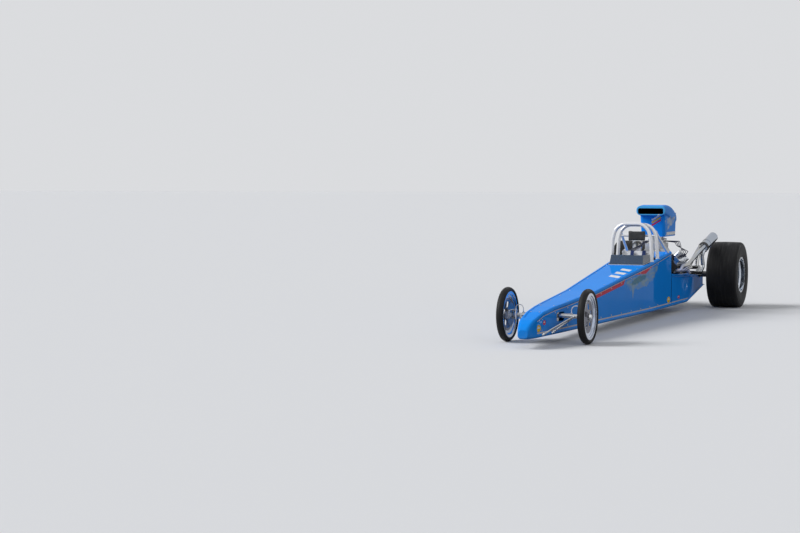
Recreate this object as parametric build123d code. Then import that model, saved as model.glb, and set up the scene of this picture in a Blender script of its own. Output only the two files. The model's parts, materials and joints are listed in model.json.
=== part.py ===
"""A rear-engined drag racing car: tube rails and sheet panels, a roll cage, an open engine and four wheels.

Lengths are millimetres. X points to the car's left, Y to its tail and Z up. While the pieces are made,
places along the car are measured back from the front axle; the last step moves all of them so that the
origin lies on the floor under the middle of the car.
"""
from build123d import *
import math
import os

# Overall
wheelbase = 5715
nose_overhang = 790
front_track = 852
rear_track = 1278
panel_wall = 3
seat_gap = 0.3

# Places that the rear axle sets
front_hoop_back = wheelbase - 2415
rear_hoop_back = front_hoop_back + 270
tall_panel_end = wheelbase - 1545
engine_front = tall_panel_end + 62

# Body width: it widens from the nose to the cockpit, then runs parallel
body_half_width = 275
body_front = -600
axle_panel_end = 360
clear_height = 1000
# columns: distance behind the front axle, half the width over the rails
width_line = [(body_front, 86), (200, 138), (front_hoop_back, body_half_width)]

# Rails
rail_radius = 22
small_tube_radius = 12.7
cowl_rise = small_tube_radius + seat_gap + panel_wall
# columns: distance behind the front axle, height of the rail's centre
upper_rail_line = [(body_front, 278), (-400, 326), (-100, 358), (1200, 447), (tall_panel_end, 758)]
lower_rail_line = [(body_front, 120), (wheelbase - 675, 120), (wheelbase + 215, 272)]
tail_rail_line = [(tall_panel_end + 30, 478), (wheelbase - 115, 416)]
panel_inset = 6

# Cockpit
windshield_base = front_hoop_back - 280
windshield_top_back = windshield_base + 65
windshield_height = 118
windshield_half_width = 205
screen_wall = 4
deck_front = rear_hoop_back + 90
bulkhead_back = rear_hoop_back + 230
bulkhead_wall = 4
dash_back = windshield_base + 20
dash_height = 150
seat_base = lower_rail_line[0][1] + small_tube_radius + seat_gap
seat_front = front_hoop_back - 400
seat_foot_back = front_hoop_back + 80
seat_top_back = rear_hoop_back + 80
seat_top = 800
seat_half_width = 190
seat_wall = 4
seat_pad_wall = 30
headrest_half_width = 110
headrest_wall = 50
headrest_height = 130
headrest_middle = 985
wheel_plane_back = front_hoop_back - 105
wheel_plane_height = 620
shaft_tilt = 20
shaft_length = 470
shaft_radius = 10
shaft_clearance = 6
shaft_running = 0.05
grip_ring_radius = 118
grip_radius = 11
steering_tube_back = front_hoop_back - 560
steering_tube_height = 385

# Roll cage
cage_radius = 21
hoop_half_width = 246
front_hoop_top = 1153
rear_hoop_top = 1138
hoop_bend = 150
top_bar_out = 96
brace_radius = 16
brace_top = 1040
brace_top_out = 214
brace_foot_back = tall_panel_end - 90

# Front axle and steering
axle_radius = 19
kingpin_inset = 88
kingpin_out = front_track / 2 - kingpin_inset
kingpin_radius = 9
kingpin_clearance = 0.05
boss_radius = 22
boss_half_height = 35
ear_wall = 12
ear_gap = 1
steering_arm = 112
tie_rod_radius = 9
spindle_radius = 14
strut_radius = 10
strut_axle_out = kingpin_out - 46
strut_feet = (-470, -200)
hanger_wall = 8
hanger_length = 90
spindle_reach = 20
arm_eye_radius = 14
tie_pin_radius = 6
rod_end_radius = 13
rod_end_height = 22
caliper_seat_out = 46

# Front wheels
front_tyre_radius = 280
front_tyre_width = 76
front_seat_radius = 216
front_lip_radius = 236
front_rim_width = 58
front_rotor_radius = 122
front_hub_radius = 36

# Rear wheels
rear_tyre_radius = 425
rear_tyre_width = 400
rear_seat_radius = 214
rear_lip_radius = 230
rear_rim_width = 366
rear_rotor_radius = 142
rear_hub_radius = 62
rear_disc_offset = -62
rim_wall = 4
front_dish_out = 6
front_windows = 5
rear_windows = 8
window_circle = 100
front_rotor_inset = 33
rotor_wall = 6
rotor_gap = 5
rear_rotor_out = rear_track / 2 - 114
housing_end = rear_rotor_out - 35
housing_radius = 38
shaft_bore_radius = 20
centre_section_radius = 150
pinion_reach = 265
caliper_bracket_out = housing_end + 9

# Engine
crank_height = 400
block_length = 560
gear_case_length = 560
gear_case_radius = 195
bank_angle = 45
deck_distance = 249
head_height = 120
head_width = 190
cover_height = 62
cover_width = 130
bore_pitch = 124
primary_radius = 24
collector_radius = 62
collector_wall = 3
port_places = tuple(engine_front + block_length / 2 + bore_pitch * step for step in (-1.5, -0.5, 0.5, 1.5))
port_along = 56
primary_bend = 45
# the way a primary leaves its port, as (out, back, height)
port_exit = (45, 10, -8)
flange_wall = 12
port_boss_reach = 8
# each primary's corners between its port and the collector, as (out, back from the engine's front, height)
primary_corners = (
    ((352, 158, 590), (396, 298, 604)),
    ((352, 303, 560), (385, 418, 590)),
    ((356, 408, 552), (386, 478, 562), (396, 758, 545), (404, 798, 690)),
    ((352, 543, 492), (420, 858, 472), (432, 983, 545), (428, 928, 680)),
)
tail_panel_end_top = 398
collector_start = (430, engine_front + 965, 786)
collector_end = (500, engine_front + 1262, 924)
collector_band = (118, 146)
plenum_half_width = 95
plenum_base = 800
plenum_top = 868
carburettor_width = 150
carburettor_places = (engine_front + block_length / 2 - 100, engine_front + block_length / 2 + 100)
motor_plate_half = 230
motor_plate_wall = 8
motor_plate_low = 320
motor_plate_shoulder = 520
motor_plate_top = 600
distributor_radius = 44
distributor_top = 842
distributor_inset = 24
intake_inset = 72
lead_radius = 4.5
lead_bend = 26
boot_radius = 12
boot_height = 24
breather_radius = 27
breather_height = 52
pulley_radius = 88
tab_wall = 10
tab_bore_radius = 10
tab_bore_reach = 52

# Air scoop
mouth_back = engine_front - 32
mouth_half_width = 180
mouth_bottom = 1220
mouth_top = 1334
scoop_back = mouth_back + 705
scoop_base = 952
scoop_wall = 6
opening_half_width = 160
opening_bottom = 1234
opening_top = 1306
opening_corner = 20
lip_round = 8
neck_half_width = 160
throat_radius = 58

front_axle_back = (nose_overhang - wheelbase - rear_tyre_radius) / 2
nodes = {}


def keep(name, *pieces):
    """File the pieces of one node, moved from the front axle's frame to the car's own."""
    shift = Pos(0, front_axle_back, 0)
    moved = [shift * piece for piece in pieces]
    nodes[name] = moved[0] if len(moved) == 1 else Compound(children=moved)


def mirrored(piece):
    """The same piece on the car's right side."""
    return mirror(piece, about=Plane.YZ)


def rod(start, end, radius):
    """A round bar between two points."""
    start, end = Vector(*start), Vector(*end)
    run = end - start
    bar = Cylinder(radius, run.length, align=(Align.CENTER, Align.CENTER, Align.MIN))
    return Plane(origin=start, z_dir=run) * bar


def bent_path(points, bend):
    """Straight runs joined by tangent arcs of one radius."""
    corners = [Vector(*point) for point in points]
    edges = []
    last = corners[0]
    for before, corner, after in zip(corners, corners[1:], corners[2:]):
        back = (before - corner).normalized()
        ahead = (after - corner).normalized()
        half_turn = math.radians(180 - back.get_angle(ahead)) / 2
        reach = bend * math.tan(half_turn)
        middle = corner + (back + ahead).normalized() * (bend / math.cos(half_turn) - bend)
        edges.append(Line(last, corner + back * reach))
        edges.append(ThreePointArc(corner + back * reach, middle, corner + ahead * reach))
        last = corner + ahead * reach
    edges.append(Line(last, corners[-1]))
    return Wire(edges)


def bent_tube(points, radius, bend):
    """A round tube bent along a path."""
    path = bent_path(points, bend)
    return sweep(Plane(origin=path @ 0, z_dir=path % 0) * Circle(radius), path=path)


def mitred_tube(points, radius):
    """A round tube along straight runs that meet at slight corners."""
    path = Polyline(*[Vector(*point) for point in points])
    section = Plane(origin=path @ 0, z_dir=path % 0) * Circle(radius)
    return sweep(section, path=path, transition=Transition.RIGHT)


def side_prism(outline, half_width):
    """A prism across the car whose side view is the outline, given as (back, height)."""
    face = Plane.YZ * make_face(Polyline(*outline, close=True))
    return extrude(face, amount=half_width, both=True)


def plan_prism(outline, bottom, top):
    """A prism through the car's height whose plan is the outline, given as (out, back)."""
    face = Plane.XY.offset(bottom) * make_face(Polyline(*outline, close=True))
    return extrude(face, amount=top - bottom)


def front_prism(outline, start, end):
    """A prism along the car whose front view is the outline, given as (out, height)."""
    face = Plane.XZ * make_face(Polyline(*outline, close=True))
    return Pos(0, start, 0) * extrude(face, amount=-(end - start))


def turned(outline):
    """A ring about the X axis from a half section given as (out, radius)."""
    return revolve(Plane.XZ * make_face(Polyline(*outline, close=True)), axis=Axis.X)


def height_on(line, back):
    """The height of a rail's centre at a place along the car."""
    for (start, low), (end, high) in zip(line, line[1:]):
        if back <= end:
            return low + (high - low) * (back - start) / (end - start)
    return line[-1][1]


def half_width(back):
    """Half the body's width over the rails at a place along the car."""
    return height_on(width_line, back)


def rail_out(back):
    """How far out a rail's centre lies."""
    return half_width(back) - rail_radius


def chord(offset):
    """Half the chord of a rail at an offset from its centre."""
    return math.sqrt(rail_radius ** 2 - offset ** 2)


def rail_points(line, start, end):
    """Corners of a rail between two places: its own and where the body's width turns."""
    places = [start, end] + [back for back, height in line] + [back for back, half in width_line]
    inside = sorted({back for back in places if start <= back <= end})
    return [(rail_out(back), back, height_on(line, back)) for back in inside]


def width_places(start, end):
    """Two places along the car and those between them where the body's width turns."""
    return sorted({start, end} | {back for back, half in width_line if start < back < end})


def width_plan(start, end, inset):
    """Plan of the body between two places, in from its sides by the inset."""
    places = width_places(start, end)
    left = [(half_width(back) - inset, back) for back in places]
    return left + [(-out, back) for out, back in reversed(left)]


def side_band(start, end, inset, wall):
    """Plan of one side wall between two places."""
    places = width_places(start, end)
    outer = [(half_width(back) - inset, back) for back in places]
    return outer + [(out - wall, back) for out, back in reversed(outer)]


def line_between(line, start, end, rise):
    """Points along a rail line from one place to another, raised by an amount."""
    places = sorted({start, end} | {back for back, height in line if start < back < end})
    return [(back, height_on(line, back) + rise) for back in places]


def front_trimmed_rail(line, end):
    """A rail whose front end is cut square across the car at the body's front edge."""
    points = rail_points(line, body_front, end)
    first, second = Vector(*points[0]), Vector(*points[1])
    points[0] = tuple(first + (first - second).normalized() * rail_radius)
    ahead = Box(4 * body_half_width, 4 * rail_radius, clear_height, align=(Align.CENTER, Align.MAX, Align.MIN))
    return mitred_tube(points, rail_radius) - Pos(0, body_front, 0) * ahead


def build_rails():
    """The four long tubes of the frame and the pair beside the engine."""
    upper = front_trimmed_rail(upper_rail_line, tall_panel_end)
    lower = front_trimmed_rail(lower_rail_line, lower_rail_line[-1][0])
    tail_start, tail_end = tail_rail_line[0][0], tail_rail_line[-1][0]
    tail = mitred_tube(rail_points(tail_rail_line, tail_start, tail_end), rail_radius)
    keep("upper_rails", upper, mirrored(upper), tail, mirrored(tail))
    keep("lower_rails", lower, mirrored(lower))
    return upper, lower, tail


def uprights(upper, lower, tail):
    """Uprights between the rails in the cockpit and beside the engine, ends cut to the rails."""
    cockpit = []
    for back in (steering_tube_back, front_hoop_back, rear_hoop_back, tall_panel_end - small_tube_radius - 12):
        out = rail_out(back)
        post = rod((out, back, height_on(lower_rail_line, back)), (out, back, height_on(upper_rail_line, back)),
                   small_tube_radius)
        cockpit.append(post - lower - upper)
    bay = []
    for back in (tall_panel_end + 70, engine_front + block_length + 7, wheelbase - 465):
        out = rail_out(back)
        post = rod((out, back, height_on(lower_rail_line, back)), (out, back, height_on(tail_rail_line, back)),
                   small_tube_radius)
        bay.append(post - lower - tail)
    posts = cockpit + bay
    return [piece for post in posts for piece in (post, mirrored(post))]


def build_frame_tubes(upper, lower, tail):
    """Uprights, and tubes across the car between the pairs of rails, ends cut to the rails."""
    # columns: distance behind the front axle, rail line that it joins, rail that cuts it
    crossings = [
        (steering_tube_back, lower_rail_line, lower), (front_hoop_back, lower_rail_line, lower),
        (tall_panel_end - 20, lower_rail_line, lower), (engine_front + block_length + 7, lower_rail_line, lower),
        (wheelbase - 415, lower_rail_line, lower), (wheelbase + 185, lower_rail_line, lower),
        (steering_tube_back, upper_rail_line, upper), (tall_panel_end - 25, upper_rail_line, upper),
    ]
    tubes = uprights(upper, lower, tail)
    for back, line, rail in crossings:
        out = rail_out(back)
        height = height_on(line, back)
        tube = rod((-out, back, height), (out, back, height), small_tube_radius)
        tubes.append(tube - rail - mirrored(rail))
    out = rail_out(steering_tube_back) - small_tube_radius
    tubes.append(rod((-out, steering_tube_back, steering_tube_height),
                     (out, steering_tube_back, steering_tube_height), small_tube_radius))
    keep("frame_tubes", *tubes)


def nose_form(inset):
    """The nose's outer form, or the same form drawn in by the wall's thickness."""
    top = height_on(upper_rail_line, body_front) + rail_radius
    bottom = lower_rail_line[0][1] - rail_radius
    # columns: distance ahead of the body's front edge, half width, bottom, top, corner
    table = [(0, half_width(body_front), bottom, top, rail_radius),
             (70, half_width(body_front) - 6, bottom, top - 18, 28),
             (130, half_width(body_front) - 16, bottom, top - 50, 34),
             (172, half_width(body_front) - 26, bottom + 3, top - 85, 36),
             (nose_overhang + body_front, half_width(body_front) - 36, bottom + 12, top - 110, 34)]
    sections = []
    for ahead, half, low, high, corner in table:
        place = min(body_front - ahead + (1 if inset else 0), body_front + 1)
        if ahead == table[-1][0]:
            place = inset - nose_overhang
        sections.append(rounded_section(place, half - inset, low + inset, high - inset, corner - inset))
    return loft(sections, ruled=True)


def build_nose():
    """Hollow nose shell, open at its back, against the rails' front ends."""
    keep("nose_shell", Pos(0, -seat_gap, 0) * (nose_form(0) - nose_form(panel_wall)))


def sheet_on_rails(start, end, rise):
    """A flat sheet between the upper rails, following their line."""
    top = line_between(upper_rail_line, start, end, rise)
    bottom = line_between(upper_rail_line, start, end, rise - panel_wall)
    side = side_prism(top + bottom[::-1], body_half_width)
    inset = rail_radius + chord(rise - panel_wall) + seat_gap
    return side & plan_prism(width_plan(start, end, inset), 0, clear_height)


def build_top():
    """The cowl ahead of the driver and the deck behind."""
    keep("top_panels", sheet_on_rails(body_front, windshield_base + 3 * screen_wall, cowl_rise),
         sheet_on_rails(deck_front, tall_panel_end - 8, cowl_rise))


def axle_window():
    """The window in a side panel that the axle and the tie rod pass through."""
    window = Box(2 * body_half_width, 220, 92)
    return Pos(0, steering_arm / 2, front_tyre_radius - 12) * fillet(window.edges().filter_by(Axis.X), 30)


def build_side_panels():
    """The panels round the front axle, and the tall panels from them to the cockpit's end."""
    rise = chord(rail_radius - panel_inset - panel_wall) + seat_gap
    # columns: node, front edge, rear edge
    for name, start, end in (("axle_side_panels", body_front, axle_panel_end),
                             ("side_panels", axle_panel_end + seat_gap, tall_panel_end)):
        bottom = line_between(lower_rail_line, start, end, rise)
        top = line_between(upper_rail_line, start, end, -rise)
        side = side_prism(bottom + top[::-1], body_half_width)
        band = plan_prism(side_band(start, end, panel_inset, panel_wall), 0, clear_height)
        panel = (side & band) - axle_window()
        keep(name, panel, mirrored(panel))


def build_tail_panels():
    """The low panels beside the engine."""
    start, end = tail_rail_line[0][0], tail_rail_line[-1][0]
    rise = chord(rail_radius - panel_inset - panel_wall) + seat_gap
    tail_end = lower_rail_line[-1][0]
    bottom = line_between(lower_rail_line, start, tail_end, rise + 2)
    top = line_between(tail_rail_line, start, end, -rise) + [(tail_end, tail_panel_end_top)]
    side = side_prism(bottom + top[::-1], body_half_width)
    panel = side & plan_prism(side_band(start, tail_end, panel_inset, panel_wall), 0, clear_height)
    panel -= rod((0, wheelbase, rear_tyre_radius), (rear_track, wheelbase, rear_tyre_radius), housing_radius + 8)
    keep("tail_panels", panel, mirrored(panel))


def build_belly():
    """The floor sheet between the lower rails."""
    drop = cowl_rise
    top = line_between(lower_rail_line, body_front, tall_panel_end, panel_wall - drop)
    bottom = line_between(lower_rail_line, body_front, tall_panel_end, -drop)
    inset = rail_radius + chord(drop - panel_wall) + seat_gap
    side = side_prism(bottom + top[::-1], body_half_width)
    keep("belly_pan", side & plan_prism(width_plan(body_front, tall_panel_end, inset), 0, clear_height))


def build_windshield(upper):
    """A low screen that wraps from the cowl back to the front hoop."""
    base = height_on(upper_rail_line, windshield_base) + cowl_rise + seat_gap
    side_end = front_hoop_back - cage_radius - 14
    side_base = height_on(upper_rail_line, side_end) + rail_radius

    def form(inset):
        lower = [(windshield_half_width - inset, windshield_base + inset), (hoop_half_width - 4 - inset, side_end)]
        upper = [(windshield_half_width - inset - 12, windshield_top_back + inset),
                 (hoop_half_width - 16 - inset, side_end)]
        low = Plane.XY.offset(base - 40) * make_face(
            Polyline(*lower, *[(-out, back) for out, back in reversed(lower)], close=True))
        high = Plane.XY.offset(base + windshield_height) * make_face(
            Polyline(*upper, *[(-out, back) for out, back in reversed(upper)], close=True))
        return loft([low, high])

    screen = form(0) - form(screen_wall) - Pos(0, side_end, base) * Box(2 * (hoop_half_width - 30), 12, 400)
    keep_above = [(windshield_base - 60, base), (windshield_base + 26, base),
                  (side_end + 60, side_base - rail_radius / 2), (side_end + 60, clear_height), (windshield_base - 60, clear_height)]
    keep("windshield", (screen & side_prism(keep_above, body_half_width)) - upper - mirrored(upper))


def build_bulkheads():
    """The plate behind the driver and the dash, both between the rails."""
    plates = []
    # columns: name, distance behind the front axle, lowest edge
    for name, back, low in (("rear_bulkhead", bulkhead_back, height_on(lower_rail_line, bulkhead_back) + 30),
                            ("dash_panel", dash_back, height_on(upper_rail_line, dash_back) - dash_height)):
        half = rail_out(back) - rail_radius - seat_gap
        high = height_on(upper_rail_line, back) + cowl_rise - panel_wall - seat_gap
        if name == "dash_panel":
            high = height_on(upper_rail_line, back) + rail_radius / 2
        plate = Box(2 * half, bulkhead_wall, high - low, align=(Align.CENTER, Align.CENTER, Align.MIN))
        plate = Pos(0, back, low) * plate
        if name == "dash_panel":
            plate -= shaft_bar(shaft_radius + shaft_clearance, wheel_plane_back - dash_back + 60)
        plates.append(plate)
    keep("bulkheads", *plates)


def seat_outline(inset, reach):
    """Side view of the seat: its back and base line, then the edge of its side walls."""
    back_foot = seat_foot_back - inset / 2
    return [(seat_front, seat_base + inset), (back_foot, seat_base + inset),
            (seat_top_back - inset, seat_top), (seat_top_back - 45 - reach, seat_top + reach + 8),
            (back_foot - 30 - reach, seat_base + 210 + reach), (back_foot - 150, seat_base + 120 + reach),
            (seat_front, seat_base + 85 + reach)]


def build_seat():
    """Bucket seat with its pad, on the cockpit's lower cross tube."""
    shell = side_prism(seat_outline(0, 0), seat_half_width)
    hollow = side_prism(seat_outline(seat_wall, 400), seat_half_width - seat_wall)
    keep("seat_shell", shell - hollow)
    gap = seat_wall + seat_gap
    back_foot = seat_foot_back - gap / 2
    pad = [(seat_front + 30, seat_base + gap), (back_foot, seat_base + gap), (seat_top_back - gap - 12, seat_top - 30),
           (seat_top_back - gap - 12 - seat_pad_wall, seat_top - 18),
           (back_foot - 0.8 * seat_pad_wall, seat_base + gap + seat_pad_wall),
           (seat_front + 30, seat_base + gap + seat_pad_wall)]
    cushion = Box(2 * headrest_half_width, headrest_wall, headrest_height)
    cushion = fillet(cushion.edges().filter_by(Axis.Y), 30)
    face = rear_hoop_back - small_tube_radius - seat_gap - headrest_wall / 2
    keep("seat_pads", side_prism(pad, seat_half_width - 26), Pos(0, face, headrest_middle) * cushion)


def shaft_bar(radius, length):
    """A bar along the steering shaft's line, forward from the steering wheel's plane."""
    tilt = math.radians(shaft_tilt)
    end = (0, wheel_plane_back - length * math.cos(tilt), wheel_plane_height - length * math.sin(tilt))
    return rod((0, wheel_plane_back, wheel_plane_height), end, radius)


def build_steering():
    """Butterfly steering wheel on its shaft, and the box that the shaft turns in."""
    tilt = math.radians(shaft_tilt)
    plane = Plane(origin=(0, wheel_plane_back, wheel_plane_height), x_dir=(1, 0, 0),
                  z_dir=(0, math.cos(tilt), math.sin(tilt)))
    grips = Torus(grip_ring_radius, grip_radius) & Box(3 * grip_ring_radius, 1.4 * grip_ring_radius, 60)
    spoke = Box(2 * grip_ring_radius - grip_radius, 26, 6)
    hub = Cylinder(28, 22)
    keep("steering_wheel", plane * (grips + spoke + hub) + shaft_bar(shaft_radius, shaft_length))
    floor = steering_tube_height + small_tube_radius + seat_gap
    housing = Box(90, 96, 110, align=(Align.CENTER, Align.CENTER, Align.MIN))
    housing = Pos(0, steering_tube_back, floor) * fillet(housing.edges().filter_by(Axis.Z), 10)
    keep("steering_box", housing - shaft_bar(shaft_radius + shaft_running, shaft_length + 1))


def build_hoops(upper):
    """The two hoops that stand on the upper rails, the bars that tie them and the braces behind."""
    rails = (upper, mirrored(upper))
    hoops = []
    for back, top in ((front_hoop_back, front_hoop_top), (rear_hoop_back, rear_hoop_top)):
        foot = height_on(upper_rail_line, back)
        crown = top - cage_radius
        shoulder = foot + 0.6 * (crown - foot)
        points = [(hoop_half_width, back, foot), (hoop_half_width - 14, back, shoulder),
                  (hoop_half_width - 60, back, crown), (60 - hoop_half_width, back, crown),
                  (14 - hoop_half_width, back, shoulder), (-hoop_half_width, back, foot)]
        hoop = bent_tube(points, cage_radius, hoop_bend) - rails[0] - rails[1]
        hoops.append(hoop)
    keep("roll_hoops", *hoops)
    bars = []
    for out in (-top_bar_out, top_bar_out):
        bars.append(rod((out, front_hoop_back, front_hoop_top - cage_radius),
                        (out, rear_hoop_back, rear_hoop_top - cage_radius), brace_radius))
    for side in (-1, 1):
        bars.append(rod((side * brace_top_out, rear_hoop_back, brace_top),
                        (side * rail_out(brace_foot_back), brace_foot_back,
                         height_on(upper_rail_line, brace_foot_back)), brace_radius))
    bars.append(rod((-hoop_half_width + 10, rear_hoop_back, headrest_middle),
                    (hoop_half_width - 10, rear_hoop_back, headrest_middle), small_tube_radius))
    keep("cage_bars", *[bar - hoops[0] - hoops[1] - rails[0] - rails[1] for bar in bars])


def build_front_axle(upper, lower):
    """Axle tube with its kingpin bosses, the plates that hold it and the struts to the lower rails."""
    axle = rod((-kingpin_out, 0, front_tyre_radius), (kingpin_out, 0, front_tyre_radius), axle_radius)
    for side in (-1, 1):
        axle += Pos(side * kingpin_out, 0, front_tyre_radius) * Cylinder(boss_radius, 2 * boss_half_height)
    for side in (-1, 1):
        bore = Cylinder(kingpin_radius + kingpin_clearance, 3 * boss_half_height)
        axle -= Pos(side * kingpin_out, 0, front_tyre_radius) * bore

    out = rail_out(0)
    low, high = height_on(lower_rail_line, 0), height_on(upper_rail_line, 0)
    plate = Pos(out, 0, low) * Box(hanger_wall, hanger_length, high - low,
                                   align=(Align.CENTER, Align.CENTER, Align.MIN))
    plate -= rod((0, 0, front_tyre_radius), (kingpin_out, 0, front_tyre_radius), axle_radius + seat_gap)
    plate = plate - upper - lower

    for back in strut_feet:
        foot = (rail_out(back) + 0.8 * rail_radius, back, height_on(lower_rail_line, back))
        strut = rod((strut_axle_out, 0, front_tyre_radius), foot, strut_radius) - lower
        axle = axle + strut + mirrored(strut)
    keep("front_axle", axle)
    return plate


def knuckle():
    """Left knuckle: two ears on a kingpin, spindle, steering arm and the caliper's bracket."""
    reach = boss_radius + 3
    depth = boss_half_height + ear_gap
    web = Pos(reach + ear_wall / 2, 0, 0) * Box(ear_wall, 40, 2 * (depth + ear_wall))
    piece = web + Cylinder(kingpin_radius, 2 * depth + ear_wall)
    for side in (-1, 1):
        middle = side * (depth + ear_wall / 2)
        piece += Pos(0, 0, middle) * Cylinder(boss_radius, ear_wall)
        piece += Pos((reach + ear_wall) / 2, 0, middle) * Box(reach + ear_wall, 40, ear_wall)
    arm_height = -(depth + ear_wall / 2)
    piece += Pos(0, steering_arm / 2, arm_height) * Box(24, steering_arm, ear_wall)
    piece += Pos(0, steering_arm, arm_height) * Cylinder(arm_eye_radius, ear_wall)
    piece -= Pos(0, steering_arm, arm_height) * Cylinder(tie_pin_radius + kingpin_clearance, 3 * ear_wall)
    wheel_out = front_track / 2 - kingpin_out
    piece += rod((reach, 0, 0), (wheel_out + spindle_reach, 0, 0), spindle_radius)
    bracket = Box(caliper_seat_out - reach, 66, 34, align=(Align.MIN, Align.MAX, Align.CENTER))
    piece += Pos(reach, -8, 0) * bracket
    return Pos(kingpin_out, 0, front_tyre_radius) * piece


def caliper(slot, wall, depth, width):
    """A brake caliper that bridges a rotor's edge, its slot centred on X = 0, its bridge towards -Y."""
    body = Box(slot + 2 * wall, depth, width)
    body = fillet(body.edges().filter_by(Axis.X), 8)
    return body - Pos(0, wall, 0) * Box(slot, depth, width + 10)


def build_knuckles():
    """Knuckles, their calipers and the tie rod between the steering arms."""
    left = knuckle()
    body = caliper(rotor_wall + 2 * rotor_gap, 14, 66, 76)
    place = (front_track / 2 - front_rotor_inset, -8 - 66 - seat_gap - 33, front_tyre_radius)
    front = Pos(*place) * body
    keep("knuckle_left", left, front)
    keep("knuckle_right", mirrored(left), mirrored(front))

    height = front_tyre_radius - boss_half_height
    rod_end = Cylinder(rod_end_radius, rod_end_height, align=(Align.CENTER, Align.CENTER, Align.MIN))
    pin = Cylinder(tie_pin_radius, ear_wall + 6, align=(Align.CENTER, Align.CENTER, Align.MAX))
    bar = rod((-kingpin_out, steering_arm, height + rod_end_height / 2),
              (kingpin_out, steering_arm, height + rod_end_height / 2), tie_rod_radius)
    for side in (-1, 1):
        bar += Pos(side * kingpin_out, steering_arm, height) * rod_end
        bar += Pos(side * kingpin_out, steering_arm, height) * pin
    keep("tie_rod", bar)


def ring(edges):
    """A solid turned about the X axis from a half section drawn as (out, radius)."""
    return revolve(Plane.XZ * make_face(edges), axis=Axis.X)


def bead_corners(rim_width, seat, lip):
    """A tyre's bead corner inside the rim's lip, and the foot of its sidewall over the lip."""
    half = rim_width / 2
    return (half - rim_wall - seat_gap, seat + seat_gap), (half + 1, lip + seat_gap)


def front_tyre():
    """Narrow round-shouldered tyre."""
    half = front_tyre_width / 2
    top = front_tyre_radius
    base, foot = bead_corners(front_rim_width, front_seat_radius, front_lip_radius)
    with BuildLine() as line:
        Polyline((-foot[0], foot[1]), (-base[0], foot[1]), (-base[0], base[1]), base, (base[0], foot[1]), foot)
        ThreePointArc(foot, (half, foot[1] + 14), (half - 5, top - 14))
        ThreePointArc((half - 5, top - 14), (0, top), (5 - half, top - 14))
        ThreePointArc((5 - half, top - 14), (-half, foot[1] + 14), (-foot[0], foot[1]))
    return ring(line.edges())


def front_rim():
    """Spun rim with a dished centre and five windows round its hub."""
    half = front_rim_width / 2
    lip, seat, wall = front_lip_radius, front_seat_radius, rim_wall
    well = seat - 12
    outer = [(-half, lip), (wall - half, lip), (wall - half, seat), (-13, seat), (-7, well), (7, well), (13, seat),
             (half - wall, seat), (half - wall, lip), (half, lip)]
    inner = [(half, seat - wall), (15, seat - wall), (9, well - wall), (-9, well - wall), (-15, seat - wall),
             (-half, seat - wall)]
    barrel = turned(outer + inner)
    dish = turned([(front_dish_out, front_hub_radius + seat_gap), (front_dish_out, 60), (-4, 145), (3, well - 2),
                   (8, well - 2), (1, 145), (front_dish_out + 5, 60), (front_dish_out + 5, front_hub_radius + seat_gap)])
    window = Pos(0, 0, window_circle) * Box(60, 52, 62)
    window = fillet(window.edges().filter_by(Axis.X), 14)
    for turn in range(front_windows):
        dish -= Rot(turn * 360 / front_windows, 0, 0) * window
    return barrel + dish


def front_rotor():
    """Brake rotor with the hub that runs on the spindle."""
    inset = front_rotor_inset
    bore = spindle_radius + kingpin_clearance
    return turned([(-inset - rotor_wall / 2, bore), (-inset - rotor_wall / 2, front_rotor_radius),
                   (-inset + rotor_wall / 2, front_rotor_radius), (-inset + rotor_wall / 2, front_hub_radius + 14),
                   (front_dish_out - 8, front_hub_radius + 14), (front_dish_out - 0.3, front_hub_radius + 14),
                   (front_dish_out - 0.3, front_hub_radius), (front_dish_out + 12, front_hub_radius),
                   (front_dish_out + 12, bore)])


def rear_tyre():
    """Wide slick with a flat tread, rounded shoulders and sidewalls that bulge."""
    half = rear_tyre_width / 2
    top = rear_tyre_radius
    base, foot = bead_corners(rear_rim_width, rear_seat_radius, rear_lip_radius)
    with BuildLine() as line:
        Polyline((-foot[0], foot[1]), (-base[0], foot[1]), (-base[0], base[1]), base, (base[0], foot[1]), foot)
        ThreePointArc(foot, (half, foot[1] + 90), (half - 6, top - 46))
        ThreePointArc((half - 6, top - 46), (half - 13, top - 17), (half - 44, top - 3))
        ThreePointArc((half - 44, top - 3), (0, top), (44 - half, top - 3))
        ThreePointArc((44 - half, top - 3), (13 - half, top - 17), (6 - half, top - 46))
        ThreePointArc((6 - half, top - 46), (-half, foot[1] + 90), (-foot[0], foot[1]))
    return ring(line.edges())


def rear_rim():
    """Wide rim, its centre set deep behind the outer lip."""
    half = rear_rim_width / 2
    lip, seat, wall = rear_lip_radius, rear_seat_radius, rim_wall
    well = seat - 18
    outer = [(-half, lip), (wall - half, lip), (wall - half, seat), (-half + 50, seat), (-half + 66, well),
             (half - 66, well), (half - 50, seat), (half - wall, seat), (half - wall, lip), (half, lip)]
    inner = [(half, seat - wall), (half - 48, seat - wall), (half - 64, well - wall), (-half + 64, well - wall),
             (-half + 48, seat - wall), (-half, seat - wall)]
    barrel = turned(outer + inner)
    disc = rear_disc_offset
    centre = turned([(disc, 24), (disc, well - 2), (disc + 8, well - 2), (disc + 22, 120), (disc + 22, 90),
                     (disc + 10, 66), (disc + 10, 24)])
    window = Pos(0, 0, 126) * Box(120, 44, 38)
    window = fillet(window.edges().filter_by(Axis.X), 12)
    for turn in range(rear_windows):
        centre -= Rot(turn * 360 / rear_windows, 0, 0) * window
    return barrel + centre


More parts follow.
